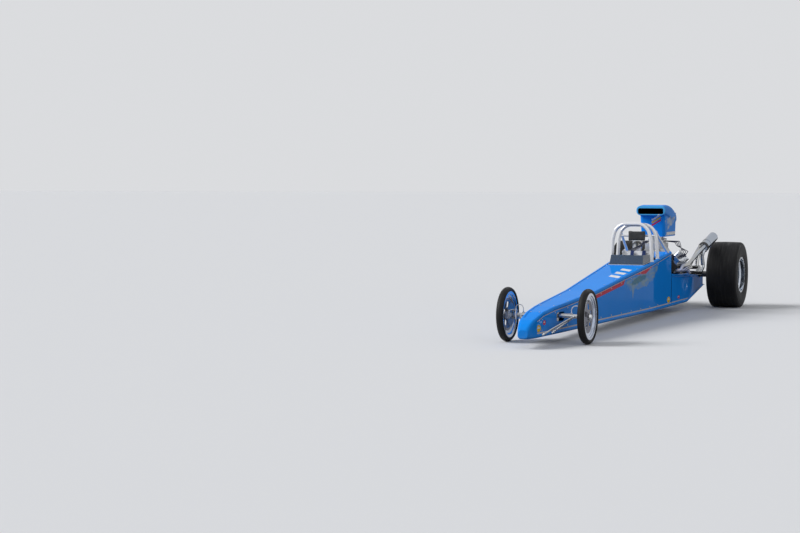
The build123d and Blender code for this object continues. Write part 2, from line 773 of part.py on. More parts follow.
def rear_rotor():
    """Brake rotor, hub flange and the shaft that runs in the axle housing."""
    flange = rear_disc_offset - seat_gap
    rotor = rear_rotor_out - rear_track / 2
    housing = housing_end - rear_track / 2
    return turned([(housing - 50, 0), (housing - 50, shaft_bore_radius - kingpin_clearance),
                   (housing + 5, shaft_bore_radius - kingpin_clearance), (housing + 5, 38), (rotor - 5, 38),
                   (rotor - 5, rear_rotor_radius), (rotor + 5, rear_rotor_radius), (rotor + 5, 46),
                   (flange - 10, 46), (flange - 10, rear_hub_radius), (flange, rear_hub_radius), (flange, 20),
                   (flange + 34, 20), (flange + 34, 0)])


def build_wheels():
    """Four wheels, each with its tyre, rim and brake rotor."""
    # columns: node's first word, distance out, distance back, height, makers of tyre, rim and rotor
    table = [("front", front_track / 2, 0, front_tyre_radius, front_tyre, front_rim, front_rotor),
             ("rear", rear_track / 2, wheelbase, rear_tyre_radius, rear_tyre, rear_rim, rear_rotor)]
    for place, out, back, height, tyre, rim, rotor in table:
        spot = Pos(out, back, height)
        left_tyre, left_rim, left_rotor = spot * tyre(), spot * rim(), spot * rotor()
        for side, turn in (("left", lambda piece: piece), ("right", mirrored)):
            keep(f"{place}_tyre_{side}", turn(left_tyre))
            if place == "front":
                keep(f"front_rim_{side}", turn(left_rim))
                keep(f"front_rotor_{side}", turn(left_rotor))
            else:
                keep(f"rear_rim_{side}", turn(left_rim), turn(left_rotor))


def build_rear_axle(lower, tail, hanger):
    """Axle housing with its centre section, the plates that hold it and the brake calipers."""
    middle = (0, wheelbase, rear_tyre_radius)
    tube = rod((-housing_end, 0, 0), (housing_end, 0, 0), housing_radius)
    drum = turned([(-110, 0), (-110, 105), (-60, centre_section_radius), (60, centre_section_radius), (110, 105),
                   (110, 0)])
    snout = revolve(Plane.XY * make_face(Polyline((0, 0), (95, 0), (95, -120), (58, -pinion_reach),
                                                  (0, -pinion_reach), close=True)), axis=Axis.Y)
    housing = tube + drum + Pos(0, 0, crank_height - rear_tyre_radius) * snout
    for side in (-1, 1):
        housing += Pos(side * (housing_end - 10), -45, 0) * Box(20, 90, 50)
        housing += Pos(side * (caliper_bracket_out - 14), -105, 0) * Box(28, 90, 50)
        bore = rod((side * (housing_end - 60), 0, 0), (side * (housing_end + 20), 0, 0), shaft_bore_radius)
        housing -= bore

    out = rail_out(wheelbase)
    low = height_on(lower_rail_line, wheelbase)
    front, back = wheelbase - 111, wheelbase + 135
    plate = side_prism([(front, 440), (front, low - 18), (back, height_on(lower_rail_line, back)), (back, 500),
                        (back - 60, 535), (front + 46, 535), (front, 480)], 5)
    plate = Pos(out, 0, 0) * plate
    plate -= rod((out - 50, wheelbase, rear_tyre_radius), (out + 50, wheelbase, rear_tyre_radius),
                 housing_radius + seat_gap)
    plate = plate - lower - tail
    keep("axle_plates", plate, mirrored(plate), hanger, mirrored(hanger))

    body = caliper(10 + 2 * rotor_gap, 16, 76, 80)
    left = Pos(rear_rotor_out + seat_gap, wheelbase - 122, rear_tyre_radius) * body
    keep("rear_axle_housing", Pos(*middle) * housing, left, mirrored(left))


def bank_point(along, across, side=1):
    """A point in the engine's front view: along a bank from the crank and across it, outwards."""
    lean = math.radians(bank_angle)
    out = along * math.sin(lean) + across * math.cos(lean)
    return side * out, crank_height + along * math.cos(lean) - across * math.sin(lean)


def bank_block(along, height, width, length):
    """A block on the left bank, from a distance along it."""
    out, up = bank_point(along + height / 2, 0)
    middle = engine_front + block_length / 2
    return Pos(out, middle, up) * Rot(0, bank_angle, 0) * Box(width, length, height)


def carburettor(place):
    """One carburettor: base flange, body with two barrels a side, float bowls ahead and behind, and air horn."""
    base, top = plenum_top + seat_gap, scoop_base - seat_gap
    half = carburettor_width / 2
    flange = Pos(0, place, base) * Box(carburettor_width, 136, 12, align=(Align.CENTER, Align.CENTER, Align.MIN))
    body = Pos(0, place, base) * Box(2 * half - 22, 84, top - base - 10, align=(Align.CENTER, Align.CENTER, Align.MIN))
    horn = Pos(0, place, top - 18) * Cylinder(throat_radius + 8, 18, align=(Align.CENTER, Align.CENTER, Align.MIN))
    piece = flange + body + horn
    for end in (-1, 1):
        bowl = Box(2 * half - 34, 28, 46, align=(Align.CENTER, Align.CENTER, Align.MIN))
        bowl = fillet(bowl.edges().filter_by(Axis.Z), 9)
        piece += Pos(0, place + end * 55, base + 14) * bowl
        piece += rod((-half + 6, place + end * 55, base + 46), (half + 12, place + end * 55, base + 46), 7)
    for side in (-1, 1):
        for end in (-1, 1):
            piece -= Pos(side * 26, place + end * 22, top - 30) * Cylinder(18, 60)
    return piece


def build_ignition():
    """Distributor behind the intake, and eight leads from its cap to the boots on the valve covers."""
    end = engine_front + block_length
    back = end - distributor_inset
    cap_foot = distributor_top - 62
    floor = crank_height + 168 + seat_gap
    shaft = Pos(0, back, floor) * Cylinder(22, cap_foot - floor, align=(Align.CENTER, Align.CENTER, Align.MIN))
    cap = Pos(0, back, cap_foot) * Cylinder(distributor_radius, 40, align=(Align.CENTER, Align.CENTER, Align.MIN))
    crown = Pos(0, back, cap_foot + 40) * Cylinder(distributor_radius - 10, 22,
                                                   align=(Align.CENTER, Align.CENTER, Align.MIN))
    pieces = shaft + cap + crown
    cover_top = deck_distance + head_height + 2 * seat_gap + cover_height
    for index, port in enumerate(port_places):
        foot_out, foot_up = bank_point(cover_top + seat_gap, 0)
        head_out, head_up = bank_point(cover_top + seat_gap + boot_height, 0)
        far_out, far_up = bank_point(cover_top + boot_height + 44, 0)
        turn = math.radians(30 + 40 * index)
        start_out, start_back = 26 * math.sin(turn), back + 26 * math.cos(turn)
        lane = 262 - 16 * index
        points = [(start_out, start_back, distributor_top - 4), (start_out, start_back, distributor_top + 44),
                  (lane - 40, start_back + 6, distributor_top + 40 - 4 * index),
                  (lane, end - 96 - 8 * index, distributor_top - 12), (far_out - 4 - 3 * index, port + 40, far_up + 8),
                  (far_out, port, far_up), (head_out, port, head_up - 2)]
        lead = bent_tube(points, lead_radius, lead_bend)
        boot = rod((foot_out, port, foot_up), (head_out, port, head_up), boot_radius)
        pieces = pieces + lead + boot + mirrored(lead) + mirrored(boot)
    keep("ignition", pieces)


def build_engine():
    """Block, pan, heads, covers, intake, carburettors, front drive and motor plates."""
    end = engine_front + block_length
    skirt, rail = crank_height + 30, crank_height - 15
    deck_in, deck_out = bank_point(deck_distance, -82), bank_point(deck_distance, 82)
    left = [(135, rail), (150, skirt), deck_out, deck_in, (46, crank_height + 168)]
    block = front_prism(left + [(-out, up) for out, up in reversed(left)], engine_front, end)
    pan = Box(240, block_length - 30, 150, align=(Align.CENTER, Align.CENTER, Align.MAX))
    pan = fillet(pan.edges().filter_by(Axis.Y).sort_by(Axis.Z)[:2], 40)
    keep("engine_block", block, Pos(0, engine_front + block_length / 2, rail - seat_gap) * pan)

    head = bank_block(deck_distance + seat_gap, head_height, head_width, block_length - 20)
    for port in port_places:
        out, up = bank_point(deck_distance + port_along, head_width / 2)
        head += Pos(out, port, up) * Rot(0, bank_angle, 0) * Box(2 * port_boss_reach, 84, 64)
    cover = bank_block(deck_distance + head_height + 2 * seat_gap, cover_height, cover_width, block_length - 34)
    cover = fillet(cover.edges().filter_by(Axis.Y).sort_by(Axis.Z)[-1:], 24)
    cover_top = deck_distance + head_height + 2 * seat_gap + cover_height
    lid_out, lid_up = bank_point(deck_distance + head_height + 2 * seat_gap + 5, 0)
    flange = Box(cover_width + 24, block_length - 26, 10)
    cover += Pos(lid_out, engine_front + block_length / 2, lid_up) * Rot(0, bank_angle, 0) * flange
    breather_foot = (*bank_point(cover_top - 20, -12), engine_front + 42)
    breather_head = (*bank_point(cover_top + breather_height, -12), engine_front + 42)
    cover += rod(*[(out, back, up) for out, up, back in (breather_foot, breather_head)], breather_radius)
    keep("cylinder_heads", head, mirrored(head))
    keep("valve_covers", cover, mirrored(cover))

    inner = head_width / 2 + seat_gap
    low, high = bank_point(deck_distance + 10, -inner), bank_point(deck_distance + 84, -inner)
    left = [(52, crank_height + 192), low, high, (plenum_half_width, plenum_base), (plenum_half_width, plenum_top)]
    outline = left + [(-out, up) for out, up in reversed(left)]
    keep("intake_manifold", front_prism(outline, engine_front + 60, end - intake_inset))

    keep("carburettors", *[carburettor(place) for place in carburettor_places])

    left = [(motor_plate_half, motor_plate_low), (motor_plate_half, motor_plate_shoulder),
            (motor_plate_half - 60, motor_plate_top)]
    plate_outline = left + [(-out, up) for out, up in reversed(left)]
    starts = (engine_front - motor_plate_wall - seat_gap, end + seat_gap)
    keep("motor_plates", *[front_prism(plate_outline, start, start + motor_plate_wall) for start in starts])

    face = engine_front - motor_plate_wall - 2 * seat_gap
    drive = rod((0, face, crank_height), (0, face - 22, crank_height), 70)
    drive += rod((0, face, crank_height), (0, face - 50, crank_height), 34)
    drive += rod((0, face - 30, crank_height), (0, face - 56, crank_height), pulley_radius)
    keep("front_drive", drive)

    start = end + motor_plate_wall + 2 * seat_gap
    radius, length = gear_case_radius, gear_case_length
    case = revolve(Pos(0, start, crank_height) * Plane.XY * make_face(
        Polyline((0, 0), (radius, 0), (radius, 22), (radius - 16, 22), (radius - 16, 60), (125, 180), (125, 290),
                 (136, 290), (136, 312), (118, 312), (118, length - 60), (60, length), (0, length), close=True)),
        axis=Axis((0, 0, crank_height), (0, 1, 0)))
    shaft_start, shaft_end = start + length + seat_gap, wheelbase - pinion_reach - seat_gap
    keep("gearbox", case, rod((0, shaft_start, crank_height), (0, shaft_end, crank_height), 40))


def rounded_section(back, half, bottom, top, corner):
    """A rounded rectangle across the car."""
    face = RectangleRounded(2 * half, top - bottom, corner)
    return Plane(origin=(0, back, (bottom + top) / 2), x_dir=(1, 0, 0), z_dir=(0, -1, 0)) * face


def scoop_form(inset):
    """Hood and neck of the scoop, or the same form drawn in by its wall."""
    front = mouth_back - (20 if inset else 0)
    # columns: distance back, half width, bottom, top, corner
    sections = [(front, mouth_half_width, mouth_bottom, mouth_top, 52),
                (mouth_back + 240, mouth_half_width - 2, mouth_bottom - 40, mouth_top + 10, 52),
                (scoop_back - inset, mouth_half_width - 26, mouth_bottom - 110, mouth_top - 100, 46)]
    hood = loft([rounded_section(back, half - inset, bottom + inset, top - inset, corner - inset)
                 for back, half, bottom, top, corner in sections])
    low, high = scoop_base, mouth_bottom + 20
    drop = 30 if inset else 0
    outline_low = Plane.XY.offset(low - drop) * Pos(0, (mouth_back + 100 + scoop_back - 20) / 2) * RectangleRounded(
        2 * (neck_half_width - 10 - inset), scoop_back - 20 - mouth_back - 100 - 2 * inset, 40)
    outline_high = Plane.XY.offset(high) * Pos(0, (mouth_back + 70 + scoop_back - 20) / 2) * RectangleRounded(
        2 * (neck_half_width - inset), scoop_back - 20 - mouth_back - 70 - 2 * inset, 40)
    neck = loft([outline_low, outline_high])
    if not inset:
        neck = neck & Box(2 * mouth_half_width, 3 * wheelbase, 2 * (mouth_bottom + 20))
    return hood + neck


def build_scoop():
    """Hollow air scoop, open at its mouth, on a tray with a round opening over each carburettor."""
    shell = scoop_form(0) - scoop_form(scoop_wall)
    tray = Pos(0, 0, scoop_base) * Box(2 * mouth_half_width, 3 * wheelbase, 2 * scoop_wall) & scoop_form(0)
    for place in carburettor_places:
        tray -= Pos(0, place, scoop_base) * Cylinder(throat_radius, 4 * scoop_wall)
    rim = rounded_section(mouth_back + 14, mouth_half_width + 2, mouth_bottom - 2, mouth_top + 2, 55)
    lip = extrude(rim, amount=26)
    lip = fillet(lip.faces().sort_by(Axis.Y)[0].edges(), lip_round)
    opening = rounded_section(mouth_back + 20, opening_half_width, opening_bottom, opening_top, opening_corner)
    opening = extrude(opening, amount=60)
    keep("scoop", shell + tray + (lip - opening))


def build_headers():
    """Four primaries that sweep back into an upswept open collector, on each side."""
    start, end = Vector(*collector_start), Vector(*collector_end)
    along = (end - start).normalized()
    side = along.cross(Vector(0, 0, 1)).normalized()
    lift = side.cross(along)
    header = rod(start, end, collector_radius)
    spread = (collector_radius - collector_wall - primary_radius) * math.sqrt(0.5)
    offsets = [lift * spread + side * spread, lift * spread - side * spread,
               lift * -spread - side * spread, lift * -spread + side * spread]
    for port, corners, offset in zip(port_places, primary_corners, offsets):
        out, up = bank_point(deck_distance + port_along, head_width / 2 + port_boss_reach + seat_gap)
        seat = Pos(out, port, up) * Rot(0, bank_angle, 0)
        mouth, leave = Vector(out, port, up), Vector(*port_exit)
        route = [(place_out, engine_front + back, height) for place_out, back, height in corners]
        points = [tuple(mouth - leave * 0.3), tuple(mouth + leave * 1.1), *route,
                  tuple(start + offset - along * 60), tuple(start + offset + along * 20)]
        tube = bent_tube(points, primary_radius, primary_bend)
        header += tube - seat * Box(4 * primary_radius, 92, 92, align=(Align.MAX, Align.CENTER, Align.CENTER))
        header += seat * Box(flange_wall, 92, 76, align=(Align.MIN, Align.CENTER, Align.CENTER))
    band_start, band_end = collector_band
    header += rod(start + along * band_start, start + along * band_end, collector_radius + collector_wall)
    header -= rod(start + along * 30, end + along * 20, collector_radius - collector_wall)
    keep("exhaust_headers", header, mirrored(header))


def build_tow_tabs(lower):
    """Two bored tabs on the tail ends of the lower rails, for towing and tying down."""
    back, height = lower_rail_line[-1]
    tab = Box(56, 90, tab_wall, align=(Align.CENTER, Align.MIN, Align.CENTER))
    tab = fillet(tab.edges().filter_by(Axis.Z).sort_by(Axis.Y)[-2:], 24)
    tab = Pos(rail_out(back), back - 10, height) * tab
    tab -= Pos(rail_out(back), back + tab_bore_reach, height) * Cylinder(tab_bore_radius, 2 * tab_wall)
    tab = tab - lower
    keep("tow_tabs", tab, mirrored(tab))


def main():
    """Build every node and write its file."""
    upper, lower, tail = build_rails()
    build_frame_tubes(upper, lower, tail)
    build_nose()
    build_top()
    build_side_panels()
    build_tail_panels()
    build_belly()
    build_windshield(upper)
    build_bulkheads()
    build_seat()
    build_steering()
    build_hoops(upper)
    hanger = build_front_axle(upper, lower)
    build_knuckles()
    build_wheels()
    build_rear_axle(lower, tail, hanger)
    build_engine()
    build_ignition()
    build_scoop()
    build_headers()
    build_tow_tabs(lower)
    os.makedirs("parts", exist_ok=True)
    for name, shape in nodes.items():
        export_step(shape, f"parts/{name}.step")


main()
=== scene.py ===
"""Looks of a rear-engined drag racing car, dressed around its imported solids.

Lengths are metres. X points to the car's left, Y to its tail and Z up. Places along the car are
given behind the front axle, and FRONT_AXLE_BACK turns them into the car's own frame.
"""
from __future__ import annotations

import json
import logging
import math
from collections.abc import Callable, Sequence
from dataclasses import dataclass
from enum import Enum

import bpy
from mathutils import Matrix, Vector

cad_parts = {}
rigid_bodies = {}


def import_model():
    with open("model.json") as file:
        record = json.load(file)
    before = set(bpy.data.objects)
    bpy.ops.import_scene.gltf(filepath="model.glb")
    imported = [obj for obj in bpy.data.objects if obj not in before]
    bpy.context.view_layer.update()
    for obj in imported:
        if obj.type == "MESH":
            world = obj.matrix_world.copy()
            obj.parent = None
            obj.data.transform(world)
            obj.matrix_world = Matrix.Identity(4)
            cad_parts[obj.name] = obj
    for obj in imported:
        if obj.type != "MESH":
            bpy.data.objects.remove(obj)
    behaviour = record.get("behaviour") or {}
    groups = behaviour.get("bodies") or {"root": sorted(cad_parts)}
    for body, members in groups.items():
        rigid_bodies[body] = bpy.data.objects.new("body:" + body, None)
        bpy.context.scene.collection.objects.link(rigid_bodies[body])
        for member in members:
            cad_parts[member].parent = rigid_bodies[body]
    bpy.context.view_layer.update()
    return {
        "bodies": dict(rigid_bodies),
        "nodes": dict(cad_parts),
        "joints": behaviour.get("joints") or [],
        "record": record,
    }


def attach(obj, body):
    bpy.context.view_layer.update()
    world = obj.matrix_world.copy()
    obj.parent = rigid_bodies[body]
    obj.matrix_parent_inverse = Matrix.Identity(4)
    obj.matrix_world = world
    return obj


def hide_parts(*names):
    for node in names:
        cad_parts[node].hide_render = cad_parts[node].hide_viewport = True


log = logging.getLogger("drag_racing_car")

Point = tuple[float, float, float]
Colour = tuple[float, float, float]
Piece = bpy.types.Object
FRONT_AXLE_BACK = -2.675
UPPER_RAIL = ((-0.6, 0.278), (-0.4, 0.326), (-0.1, 0.358), (1.2, 0.447), (4.17, 0.758))
BODY_WIDTH = ((-0.6, 0.086), (0.2, 0.138), (3.3, 0.275))
RAIL_RADIUS = 0.022
PANEL_BOTTOM = 0.139
LEFTWARD, REARWARD, UP = Vector((1, 0, 0)), Vector((0, 1, 0)), Vector((0, 0, 1))


def at(out: float, back: float, height: float) -> Vector:
    """A point in the car's frame, from its place behind the front axle."""
    return Vector((out, back + FRONT_AXLE_BACK, height))


def on_line(line: Sequence[tuple[float, float]], back: float) -> float:
    """The height of a rail's centre at a place behind the front axle.

    Args:
        line: The rail's corners, as (back, height).
        back: The place along the car.

    Returns:
        The height in metres.
    """
    for (start, low), (end, high) in zip(line, line[1:]):
        if back <= end:
            return low + (high - low) * (back - start) / (end - start)
    return line[-1][1]


def half_width(back: float) -> float:
    """Half the body's width over its rails at a place behind the front axle."""
    return on_line(BODY_WIDTH, back)


def placed(start: Vector, way: Vector) -> Matrix:
    """Where a piece made along Z goes: its foot at a point, its top in a direction."""
    return Matrix.Translation(start) @ way.normalized().to_track_quat("Z", "Y").to_matrix().to_4x4()


def both_sides(places: Sequence[Matrix]) -> list[Matrix]:
    """The places, and after them the same ones on the car's other side."""
    mirror = Matrix.Diagonal((-1.0, 1.0, 1.0, 1.0))
    return [*places, *(mirror @ place for place in places)]


class Signal:
    """A shader socket that ordinary arithmetic works on."""

    def __init__(self, nodes: Nodes, socket: bpy.types.NodeSocket) -> None:
        """Keep the socket and the node tree that it belongs to."""
        self.nodes = nodes
        self.socket = socket

    def __add__(self, other: Signal | float) -> Signal:
        """The sum."""
        return self.nodes.math("ADD", self, other)

    __radd__ = __add__

    def __sub__(self, other: Signal | float) -> Signal:
        """The difference."""
        return self.nodes.math("SUBTRACT", self, other)

    def __rsub__(self, other: float) -> Signal:
        """The difference from a number."""
        return self.nodes.math("SUBTRACT", other, self)

    def __mul__(self, other: Signal | float) -> Signal:
        """The product."""
        return self.nodes.math("MULTIPLY", self, other)

    __rmul__ = __mul__

    def __truediv__(self, other: Signal | float) -> Signal:
        """The quotient."""
        return self.nodes.math("DIVIDE", self, other)

    def __abs__(self) -> Signal:
        """The size without its sign."""
        return self.nodes.math("ABSOLUTE", self)

    def rises(self, low: float, high: float) -> Signal:
        """A smooth step from 0 at low to 1 at high, or down where low is the higher.

        Args:
            low: The value at which the step leaves 0.
            high: The value at which it reaches 1.

        Returns:
            The step.
        """
        settings = {"interpolation_type": "SMOOTHSTEP"}
        values = {"Value": self, "From Min": low, "From Max": high}
        return self.nodes.node("ShaderNodeMapRange", settings, values)

    def between(self, low: float, high: float, soft: float) -> Signal:
        """1 from low to high with soft edges just inside them, and 0 beyond."""
        return self.rises(low, low + soft) * self.rises(high, high - soft)


class Nodes:
    """A node tree and the ways to add to it."""

    def __init__(self, tree: bpy.types.NodeTree) -> None:
        """Keep the tree."""
        self.tree = tree

    def node(self, kind: str, settings: dict[str, object] | None = None,
             inputs: dict[str | int, object] | None = None, output: str | int = 0) -> Signal:
        """Add a node.

        Args:
            kind: The node's type.
            settings: What is set before its sockets, such as a Math node's operation or a ramp's stops.
            inputs: Values or signals by socket.
            output: The socket to read.

        Returns:
            The chosen output as a signal.
        """
        made = self.tree.nodes.new(kind)
        for name, value in (settings or {}).items():
            if name == "stops":
                ramp = made.color_ramp.elements
                for index, (place, colour) in enumerate(value):
                    stop = ramp[index] if index < 2 else ramp.new(place)
                    stop.position = place
                    stop.color = (*colour, 1.0)
            else:
                setattr(made, name, value)
        for name, value in (inputs or {}).items():
            if isinstance(value, Signal):
                self.tree.links.new(value.socket, made.inputs[name])
            else:
                made.inputs[name].default_value = value
        return Signal(self, made.outputs[output])

    def math(self, operation: str, *values: Signal | float) -> Signal:
        """One step of arithmetic."""
        return self.node("ShaderNodeMath", {"operation": operation}, dict(enumerate(values)))

    def directly_seen(self) -> Signal:
        """1 for what the camera, metal and glass show, and 0 for light that is thrown about.

        Returns:
            The switch, as a signal.
        """
        rays = [self.node("ShaderNodeLightPath", output=f"Is {kind} Ray")
                for kind in ("Camera", "Glossy", "Transmission")]
        return self.math("MAXIMUM", self.math("MAXIMUM", rays[0], rays[1]), rays[2])


class Recipe(Nodes):
    """One material in the making: a Principled shader and the nodes that feed it."""

    def __init__(self, name: str) -> None:
        """Start a material whose places are read in the car's frame.

        Args:
            name: The material's name.
        """
        self.material = bpy.data.materials.new(name)
        self.material.use_nodes = True
        super().__init__(self.material.node_tree)
        self.shader = self.tree.nodes["Principled BSDF"]
        self.place = self.node("ShaderNodeTexCoord", output="Object")
        self.x, self.y, self.z = self.parts(self.place)

    def parts(self, vector: Signal) -> list[Signal]:
        """The three values of a vector."""
        return [self.node("ShaderNodeSeparateXYZ", inputs={"Vector": vector}, output=axis) for axis in "XYZ"]

    def mix(self, share: Signal | float, first: Signal | Colour, second: Signal | Colour) -> Signal:
        """A colour between two others, the second where the share is 1.

        Args:
            share: How much of the second is in it, from 0 to 1.
            first: The colour at 0.
            second: The colour at 1.

        Returns:
            The colour.
        """
        colours = [value if isinstance(value, Signal) else (*value, 1.0) for value in (first, second)]
        inputs = {0: share, 6: colours[0], 7: colours[1]}
        return self.node("ShaderNodeMix", {"data_type": "RGBA"}, inputs, output=2)

    def vector(self, x: Signal | float, y: Signal | float, z: Signal | float) -> Signal:
        """Three values as one vector."""
        return self.node("ShaderNodeCombineXYZ", inputs={"X": x, "Y": y, "Z": z})

    def noise(self, scale: float, detail: float = 2.0, place: Signal | None = None) -> Signal:
        """Smooth noise from 0 to 1.

        Args:
            scale: Waves in a metre.
            detail: How many finer layers it has.
            place: Where it is read, or the car's frame.

        Returns:
            The noise.
        """
        inputs = {"Vector": place or self.place, "Scale": scale, "Detail": detail}
        return self.node("ShaderNodeTexNoise", inputs=inputs)

    def reach(self, across: Signal, up: Signal) -> Signal:
        """How far a point lies from a middle that is so far off on two axes."""
        return self.math("SQRT", across * across + up * up)

    def set(self, **sockets: Signal | float | tuple[float, ...]) -> None:
        """Set or link the shader's sockets, named with underscores for spaces.

        Args:
            **sockets: Their values or signals by name.
        """
        for name, value in sockets.items():
            socket = self.shader.inputs[name.replace("_", " ").title().replace("Ior", "IOR")]
            if isinstance(value, Signal):
                self.tree.links.new(value.socket, socket)
            else:
                socket.default_value = (*value, 1.0) if isinstance(value, tuple) else value

    def bump(self, height: Signal, depth: float, strength: float = 1.0) -> None:
        """Raise the surface by a height from 0 to 1 times a depth in metres."""
        inputs = {"Strength": strength, "Distance": depth, "Height": height}
        self.set(normal=self.node("ShaderNodeBump", inputs=inputs))


@dataclass(frozen=True)
class Finish:
    """A finish of one colour with a fine grain, the start of all others."""

    name: str
    colour: Colour
    metallic: float = 0.0
    roughness: float = 0.5
    coat: float = 0.0
    grain: float = 300.0
    grain_depth: float = 0.0002

    def material(self) -> bpy.types.Material:
        """The finish as a material, made once.

        Returns:
            The material.
        """
        known = bpy.data.materials.get(self.name)
        if known:
            return known
        recipe = Recipe(self.name)
        recipe.set(base_color=self.colour, metallic=self.metallic, roughness=self.roughness,
                   coat_weight=self.coat)
        self.work(recipe)
        return recipe.material

    def work(self, recipe: Recipe) -> None:
        """Add what varies over the surface.

        Args:
            recipe: The material in the making.
        """
        cloud = recipe.noise(9.0, 3.0)
        rough = self.roughness + 0.16 * (cloud - 0.5)
        recipe.set(base_color=self.shaded(recipe, cloud, 0.16), roughness=rough)
        recipe.bump(recipe.noise(self.grain, 2.0), self.grain_depth, 0.6)

    def shaded(self, recipe: Recipe, cloud: Signal, spread: float) -> Signal:
        """The finish's colour, darker and paler by a spread over a cloud.

        Args:
            recipe: The material in the making.
            cloud: Where it is dark, at 0, and pale, at 1.
            spread: How far it goes each way, as a share of the colour.

        Returns:
            The colour.
        """
        dark = tuple(part * (1 - spread) for part in self.colour)
        pale = tuple(min(1.0, part * (1 + spread)) for part in self.colour)
        return recipe.mix(cloud, dark, pale)


@dataclass(frozen=True)
class GlossPaint(Finish):
    """Sprayed and polished paint under a clear coat, dustier near the road."""

    roughness: float = 0.34
    coat: float = 0.30
    dust_height: float = 0.24

    def work(self, recipe: Recipe) -> None:
        """Add clouds in the colour, the spray's fine ripple, and dust low down.

        Args:
            recipe: The material in the making.
        """
        colour = self.colour_map(recipe)
        cloud = recipe.noise(2.2, 4.0)
        speck = recipe.noise(55.0, 4.0).rises(0.52, 0.7)
        dust = (recipe.z.rises(self.dust_height, 0.06) * 0.22 + 0.02) * (0.3 + 0.7 * speck)
        recipe.set(base_color=recipe.mix(dust, colour, (0.26, 0.25, 0.22)),
                   roughness=self.roughness + 0.10 * cloud + 0.35 * dust,
                   coat_weight=(self.coat - 0.3 * dust) * self.shine(recipe))
        recipe.shader.inputs["Specular IOR Level"].default_value = 0.0
        recipe.shader.inputs["Coat Roughness"].default_value = 0.04
        recipe.shader.inputs["Coat IOR"].default_value = 1.22
        recipe.bump(recipe.noise(420.0, 1.0), 0.00012, 0.35)

    def shine(self, recipe: Recipe) -> Signal | float:
        """Where the clear coat lies."""
        return 1.0

    def colour_map(self, recipe: Recipe) -> Signal:
        """The colour before the dust."""
        return self.shaded(recipe, recipe.noise(2.2, 4.0), 0.08)


RED = (0.62, 0.040, 0.085)
SILVER = (0.64, 0.62, 0.60)
SMOKE = (0.30, 0.42, 0.46)
WHITE = (0.80, 0.81, 0.82)
YELLOW = (0.80, 0.52, 0.02)
PALE_SEAM = (0.30, 0.42, 0.50)
# paler blue painted on the scoop's lip as a painted highlight
LIP_HIGHLIGHT_BLUE = (0.075, 0.42, 0.86)
SWEEP_SILVER = (0.52, 0.58, 0.62)
DEEP_TEAL = (0.010, 0.150, 0.180)

# columns: back, height, half length, half height, colour
STICKERS = ((4.045, 0.190, 0.080, 0.037, YELLOW), (4.571, 0.192, 0.060, 0.020, RED),
            (-0.545, 0.190, 0.062, 0.036, YELLOW), (-0.392, 0.238, 0.040, 0.024, RED))


def behind(recipe: Recipe) -> Signal:
    """How far behind the front axle a point of the surface lies."""
    return recipe.y - FRONT_AXLE_BACK


def with_stickers(recipe: Recipe, colour: Signal) -> Signal:
    """The colour with plain oval stickers over it, each with a pale middle.

    Args:
        recipe: The material in the making.
        colour: The colour under them.

    Returns:
        The colour with the stickers.
    """
    back = behind(recipe)
    for place, height, half_length, half_height, tint in STICKERS:
        away_back, away_up = (back - place) / half_length, (recipe.z - height) / half_height
        away = recipe.reach(away_back, away_up)
        colour = recipe.mix(away.rises(1.0, 0.97), colour, tint)
        colour = recipe.mix(away.rises(0.56, 0.53) * away_up.rises(-0.1, 0.0), colour, WHITE)
    return colour


@dataclass(frozen=True)
class NosePaint(GlossPaint):
    """The nose piece's paint, which a sticker crosses at its back edge."""

    def colour_map(self, recipe: Recipe) -> Signal:
        """Blue with the sticker."""
        return with_stickers(recipe, super().colour_map(recipe))


